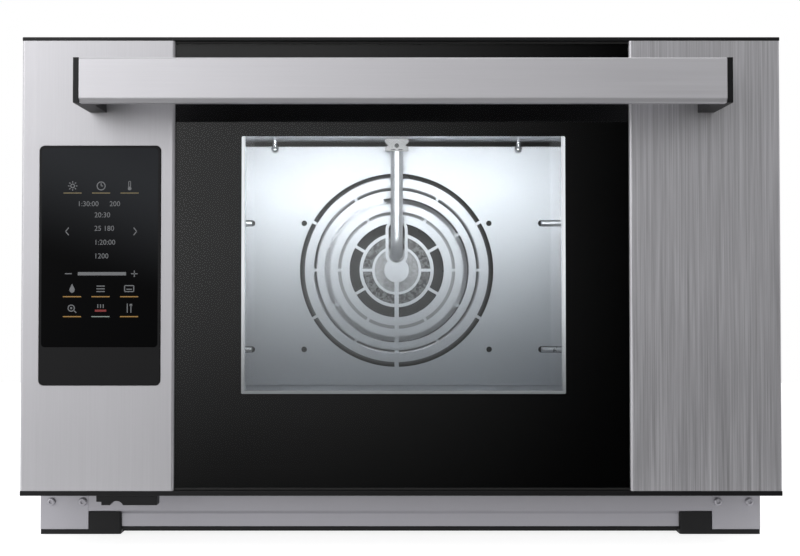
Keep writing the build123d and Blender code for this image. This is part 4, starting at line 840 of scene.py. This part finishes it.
class OVEN_OT_control_panel(OvenOperator):
    """The touch panel with its plain icons and numbers"""

    bl_idname = "oven.control_panel"
    bl_label = "Control panel"

    columns = (-22.7 * mm, -0.2 * mm, 22.3 * mm)
    first_row = 34.2 * mm
    first_line = 39.8 * mm
    list_rows = (48.2 * mm, 57.0 * mm, 67.6 * mm, 78.6 * mm, 89.4 * mm)
    slider_row = 103.5 * mm
    second_row = 115.4 * mm
    second_line = 121.6 * mm
    third_row = 130.6 * mm
    third_line = 137.3 * mm
    line_width = 14.3 * mm
    line_height = 0.8 * mm

    def build(self, sizes, colours):
        dress(["control_housing"], moulded("control_trim", dark, 0.4, depth=0.004 * mm, gloss=0.2))
        pane_low, pane_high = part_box("control_glass")
        dress(["control_glass"], touch_glass_painted_reflection("touch_glass", pane_low.z, pane_high.z))
        dress(["control_board"], circuit("board_green_control", paint["board_green"]))
        low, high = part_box("control_housing")
        self.top = high.z
        self.middle = (pane_low.x + pane_high.x) / 2 + 1.1 * mm
        self.face = pane_low.y
        self.size = sizes.icon_size
        self.stroke = sizes.icon_stroke
        self.thickness = sizes.print_height
        grey = printed("icon_grey", colours.icon_grey)
        amber = printed("icon_amber", colours.icon_amber)
        gold = printed("icon_gold", colours.icon_gold)
        red = printed("icon_red", colours.icon_red)
        pale = printed("icon_pale", (0.28, 0.34, 0.30))
        self.icons(grey)
        self.lines(gold, amber)
        self.warm_mark(red, pale)
        self.numbers(sizes, grey)

    def drawing(self):
        return Drawing(self.face, self.thickness)

    def at(self, column, drop):
        return self.middle + self.columns[column], self.top - drop

    def icons(self, grey):
        s = self.size
        w = self.stroke
        marks = self.drawing()
        x, z = self.at(0, self.first_row)
        for turn in range(8):
            angle = math.radians(turn * 45)
            ray = Vector((math.cos(angle), math.sin(angle))) * s
            centre = Vector((x, z))
            marks.stroke(centre + ray * 0.34, centre + ray * 0.52, w)
        marks.ring(x, z, s * 0.2, w)
        x, z = self.at(1, self.first_row)
        marks.ring(x, z, s * 0.44, w)
        marks.path([(x, z + s * 0.3), (x, z), (x + s * 0.2, z)], w)
        x, z = self.at(2, self.first_row)
        foot = z - s * 0.1
        crown = z + s * 0.5
        tube = [(x - w, foot), (x - w, crown), (x + w, crown), (x + w, foot)]
        marks.path(tube, w * 0.8)
        marks.disc(x, z - s * 0.28, s * 0.2)
        x, z = self.at(0, self.second_row)
        drop = [(0.0, 0.55), (0.18, 0.2), (0.3, -0.08), (0.22, -0.34), (0.0, -0.45)]
        outline = [(x + a * s, z + b * s) for a, b in drop]
        outline += [(x - a * s, z + b * s) for a, b in reversed(drop[1:-1])]
        marks.outline(outline[::-1])
        x, z = self.at(1, self.second_row)
        for level in (-0.3, 0.0, 0.3):
            marks.bar(x, z + level * s, s * 0.9, w)
        x, z = self.at(2, self.second_row)
        corners = [(-0.5, 0.35), (0.5, 0.35), (0.5, -0.3), (-0.5, -0.3), (-0.5, 0.35)]
        marks.path([(x + a * s, z + b * s) for a, b in corners], w)
        marks.bar(x, z - s * 0.05, s * 0.6, w)
        x, z = self.at(0, self.third_row)
        marks.ring(x - s * 0.08, z, s * 0.34, w)
        marks.disc(x - s * 0.08, z, s * 0.12)
        marks.stroke((x + s * 0.18, z - s * 0.25), (x + s * 0.48, z - s * 0.5), w)
        x, z = self.at(1, self.third_row)
        for offset in (-0.3, 0.0, 0.3):
            marks.bar(x + offset * s, z + s * 0.22, w, s * 0.4)
        x, z = self.at(2, self.third_row)
        marks.bar(x - s * 0.2, z, w, s)
        marks.bar(x + s * 0.2, z - s * 0.1, w, s * 0.8)
        marks.bar(x + s * 0.2, z + s * 0.34, w * 2.6, s * 0.24)
        self.slider(marks)
        marks.finish("panel_icons", "door", "touch_glass", grey)

    def slider(self, marks):
        z = self.top - self.slider_row
        left = self.middle + self.columns[0]
        right = self.middle + self.columns[2]
        marks.bar(left - 3 * mm, z, 5.4 * mm, self.stroke)
        marks.bar((left + right) / 2 + 1 * mm, z, 38 * mm, 2.6 * mm)
        marks.bar(right + 4 * mm, z, 5 * mm, self.stroke)
        marks.bar(right + 4 * mm, z, self.stroke, 5 * mm)
        middle_row = self.top - (self.list_rows[2] + self.list_rows[3]) / 2 + 3 * mm
        for side in (-1, 1):
            tip = self.middle + side * 28 * mm
            corner = tip - side * 2.4 * mm
            ends = [(corner, middle_row + 3 * mm), (tip, middle_row), (corner, middle_row - 3 * mm)]
            marks.path(ends, self.stroke)

    def lines(self, gold, amber):
        """The lines under the icons; the last row's middle icon has a pale one instead."""
        marks = self.drawing()
        for column in range(3):
            marks.bar(*self.at(column, self.first_line), self.line_width, self.line_height)
        marks.finish("panel_first_lines", "door", "touch_glass", gold)
        marks = self.drawing()
        for column in range(3):
            marks.bar(*self.at(column, self.second_line), self.line_width, self.line_height)
        for column in (0, 2):
            marks.bar(*self.at(column, self.third_line), self.line_width, self.line_height)
        marks.finish("panel_lines", "door", "touch_glass", amber)

    def warm_mark(self, red, pale):
        x, z = self.at(1, self.third_row + 2 * mm)
        marks = self.drawing()
        marks.bar(x, z, 9 * mm, 1.6 * mm)
        marks.finish("panel_warm_mark", "door", "touch_glass", red)
        marks = self.drawing()
        marks.bar(x, self.top - self.third_line, self.line_width, 0.7 * mm)
        marks.finish("panel_pale_mark", "door", "touch_glass", pale)

    def numbers(self, sizes, grey):
        rows = (("1:30:00", "200"), ("20:30",), ("25 180",), ("1:20:00",), ("1200",))
        for index, (drop, words) in enumerate(zip(self.list_rows, rows)):
            start = self.middle - (18.8 if index == 0 else 5.5) * mm
            for place, text in enumerate(words):
                name = f"panel_number_{index}_{place}"
                x = start + place * 25.2 * mm
                number(text, x, self.top - drop, sizes.number_height, self.face, self.thickness, name, grey)


class OVEN_OT_door_frame(OvenOperator):
    """The door's inner frame, trims, hinge arms, springs and cable guide"""

    bl_idname = "oven.door_frame"
    bl_label = "Door frame"

    def build(self, sizes, colours):
        dress(["door_frame", "door_mullions"], satin("zinc_steel_door", paint["zinc_steel"], 0.45))
        trim = moulded("door_trim_plastic", dark, 0.4)
        soften("door_trims", sizes.plastic_edge, trim)
        soften("cable_guide", sizes.plastic_edge, trim)
        hinge = satin("hinge_steel", paint["hinge_steel"], 0.36)
        names = ["hinge_arm_left", "hinge_arm_right", "hinge_springs", "hinge_pins"]
        dress(names + ["hinge_bracket_left", "hinge_bracket_right"], hinge)


class OVEN_OT_base(OvenOperator):
    """The base rails, corner plates, feet and their screws"""

    bl_idname = "oven.base"
    bl_label = "Base"

    def build(self, sizes, colours):
        steel = satin("base_steel", colours.base_steel, 0.5, 0.6)
        rails = ["base_front_rail", "base_rear_rail", "base_side_rail_left", "base_side_rail_right"]
        dress(rails, steel)
        soften("corner_plates", sizes.edge, steel)
        foot = moulded("foot_plastic", dark, 0.6)
        soften("feet", sizes.plastic_edge, foot)
        # painted shadow under the front rail
        self.strip(foot)
        dress(["body_screws"], satin("body_screw_steel", colours.base_steel, 0.45, 0.6))

    def strip(self, finish):
        """A black strip under the front rail's lower lip, from foot to foot: painted shadow, a dark piece
        put where there is only the shade under the oven.
        """
        low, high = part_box("base_front_rail")
        reach = high.x - 28 * mm
        y = (low.y + 3 * mm, low.y + 15 * mm)
        bead("base_painted_shadow_strip", (-reach, reach), y, (2 * mm, low.z), 0.6 * mm, "body", finish)


class OVEN_OT_casing(OvenOperator):
    """The side panels, cover, rear panel and bottom pan"""

    bl_idname = "oven.casing"
    bl_label = "Casing"

    def build(self, sizes, colours):
        steel = satin("casing_steel", colours.casing_steel, 0.4)
        for name in ("side_panel_left", "side_panel_right", "top_cover", "rear_panel"):
            dress([name], steel)
        dress(["bottom_pan", "rear_bulkhead"], satin("zinc_steel", paint["zinc_steel"], 0.5))


class OVEN_OT_cavity(OvenOperator):
    """The cavity's liner, its fascia, gasket and insulation"""

    bl_idname = "oven.cavity"
    bl_label = "Cavity"

    def build(self, sizes, colours):
        low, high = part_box("fan_wheel")
        guard_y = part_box("fan_guard")[0].y
        steel = cavity_sheet("cavity_steel", colours.cavity_steel, guard_y, (low + high) / 2)
        dress(["cavity_liner", "front_fascia"], steel)
        dress(["door_gasket"], rubber("seal_rubber", paint["seal_rubber"]))
        dress(["insulation_wrap"], wool("mineral_wool", paint["mineral_wool"]))


class OVEN_OT_fan_guard(OvenOperator):
    """The slotted guard before the fan, and the hooks that hold it"""

    bl_idname = "oven.fan_guard"
    bl_label = "Fan guard"

    bolt_radius = 2.6 * mm
    bolt_height = 1.4 * mm
    # sizes of the clamp's two dark bars, painted shadow of two slots in its lower edge
    slot_shadow_size = (5.0 * mm, 1.2 * mm)
    slot_shadow_offset = 4.2 * mm
    slot_shadow_rise = 1.6 * mm

    def build(self, sizes, colours):
        steel = satin("guard_steel", colours.guard_steel, 0.5, 0.3, tone=0.02)
        soften("fan_guard", sizes.edge, steel)
        self.clamp(sizes)
        dress(["guard_hooks"], polished("hook_steel", colours.wire_steel, 0.24, metallic=0.9))

    def clamp(self, sizes):
        """The tube's clamp with a near-black bolt disc and two near-black tabs, which are painted shadow
        standing in for two slots in its lower edge.
        """
        soften("tube_clamp", sizes.edge, satin("clamp_steel", (0.30, 0.29, 0.29), 0.5, 0.4))
        low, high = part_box("tube_clamp")
        x = (low.x + high.x) / 2
        z = low.z + 0.45 * (high.z - low.z)
        marks = Drawing(low.y + 0.2 * mm, self.bolt_height)
        marks.disc(x, z, self.bolt_radius)
        # two near-black bars: painted shadow standing in for two slots
        for side in (-1, 1):
            marks.bar(x + side * self.slot_shadow_offset, low.z + self.slot_shadow_rise, *self.slot_shadow_size)
        marks.finish("clamp_bolt", "body", "guard_steel", satin("clamp_bolt_and_slot_shadow_paint", (0.05, 0.05, 0.05), 0.5))


class OVEN_OT_racks(OvenOperator):
    """The side racks and the studs that carry them"""

    bl_idname = "oven.racks"
    bl_label = "Racks"

    def build(self, sizes, colours):
        wire = polished("wire_steel", colours.wire_steel, 0.3, metallic=0.7)
        dress(["rack_left", "rack_right", "rack_studs"], wire)


class OVEN_OT_water_line(OvenOperator):
    """The water tube, valve and hose"""

    bl_idname = "oven.water_line"
    bl_label = "Water line"

    def build(self, sizes, colours):
        tube = polished("tube_steel", paint["tube_steel"], 0.36, metallic=0.6)
        dress(["water_tube", "temperature_probe", "vent_pipe"], tube)
        brass = satin("valve_brass", paint["valve_brass"], 0.34)
        dress(["water_valve"], brass)
        dress(["water_hose"], rubber("hose_rubber", paint["hose_rubber"]))


class OVEN_OT_fan(OvenOperator):
    """The fan, its nut and shaft, the heating element and the motor"""

    bl_idname = "oven.fan"
    bl_label = "Fan and element"

    def build(self, sizes, colours):
        low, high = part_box("fan_wheel")
        dress(["fan_wheel"], fan_sheet("fan_steel", (low + high) / 2))
        dress(["fan_nut", "fan_shaft"], satin("shaft_steel", paint["hinge_steel"], 0.3))
        dress(["heating_element"], heat_darkened("element_steel", (0.42, 0.42, 0.43)))
        dress(["motor_body"], satin("motor_paint", paint["motor_paint"], 0.45, 0.0, depth=0.02 * mm))


class OVEN_OT_rear_compartment(OvenOperator):
    """The cooling fan, boards and fittings behind the bulkhead"""

    bl_idname = "oven.rear_compartment"
    bl_label = "Rear compartment"

    def build(self, sizes, colours):
        plastic = moulded("fitting_plastic", dark, 0.45)
        dress(["cooling_fan_housing", "cooling_fan_rotor", "cable_gland"], plastic)
        dress(["terminal_block"], moulded("terminal_plastic", paint["terminal_plastic"], 0.45))
        dress(["power_board"], circuit("board_green", paint["board_green"]))


class OVEN_PT_panel(bpy.types.Panel):
    """The oven's steps and settings in the 3D view's sidebar"""

    bl_idname = "OVEN_PT_panel"
    bl_label = "Convection oven"
    bl_space_type = "VIEW_3D"
    bl_region_type = "UI"
    bl_category = "Oven"

    def draw(self, context):
        layout = self.layout
        for step in steps:
            layout.operator(step.bl_idname)
        for group in (context.scene.oven_sizes, context.scene.oven_colours):
            box = layout.box()
            for name in group.__annotations__:
                box.prop(group, name)


steps = (
    OVEN_OT_stage,
    OVEN_OT_door_panels,
    OVEN_OT_door_glass,
    OVEN_OT_handle,
    OVEN_OT_control_panel,
    OVEN_OT_door_frame,
    OVEN_OT_base,
    OVEN_OT_casing,
    OVEN_OT_cavity,
    OVEN_OT_fan_guard,
    OVEN_OT_racks,
    OVEN_OT_water_line,
    OVEN_OT_fan,
    OVEN_OT_rear_compartment,
)
classes = (OvenColours, OvenSizes, *steps, OVEN_PT_panel)


def register():
    for item in classes:
        bpy.utils.register_class(item)
    bpy.types.Scene.oven_sizes = PointerProperty(type=OvenSizes)
    bpy.types.Scene.oven_colours = PointerProperty(type=OvenColours)


def unregister():
    del bpy.types.Scene.oven_colours
    del bpy.types.Scene.oven_sizes
    for item in reversed(classes):
        bpy.utils.unregister_class(item)


def main():
    register()
    for step in steps:
        group, name = step.bl_idname.split(".")
        getattr(getattr(bpy.ops, group), name)()


if __name__ == "__main__":
    main()
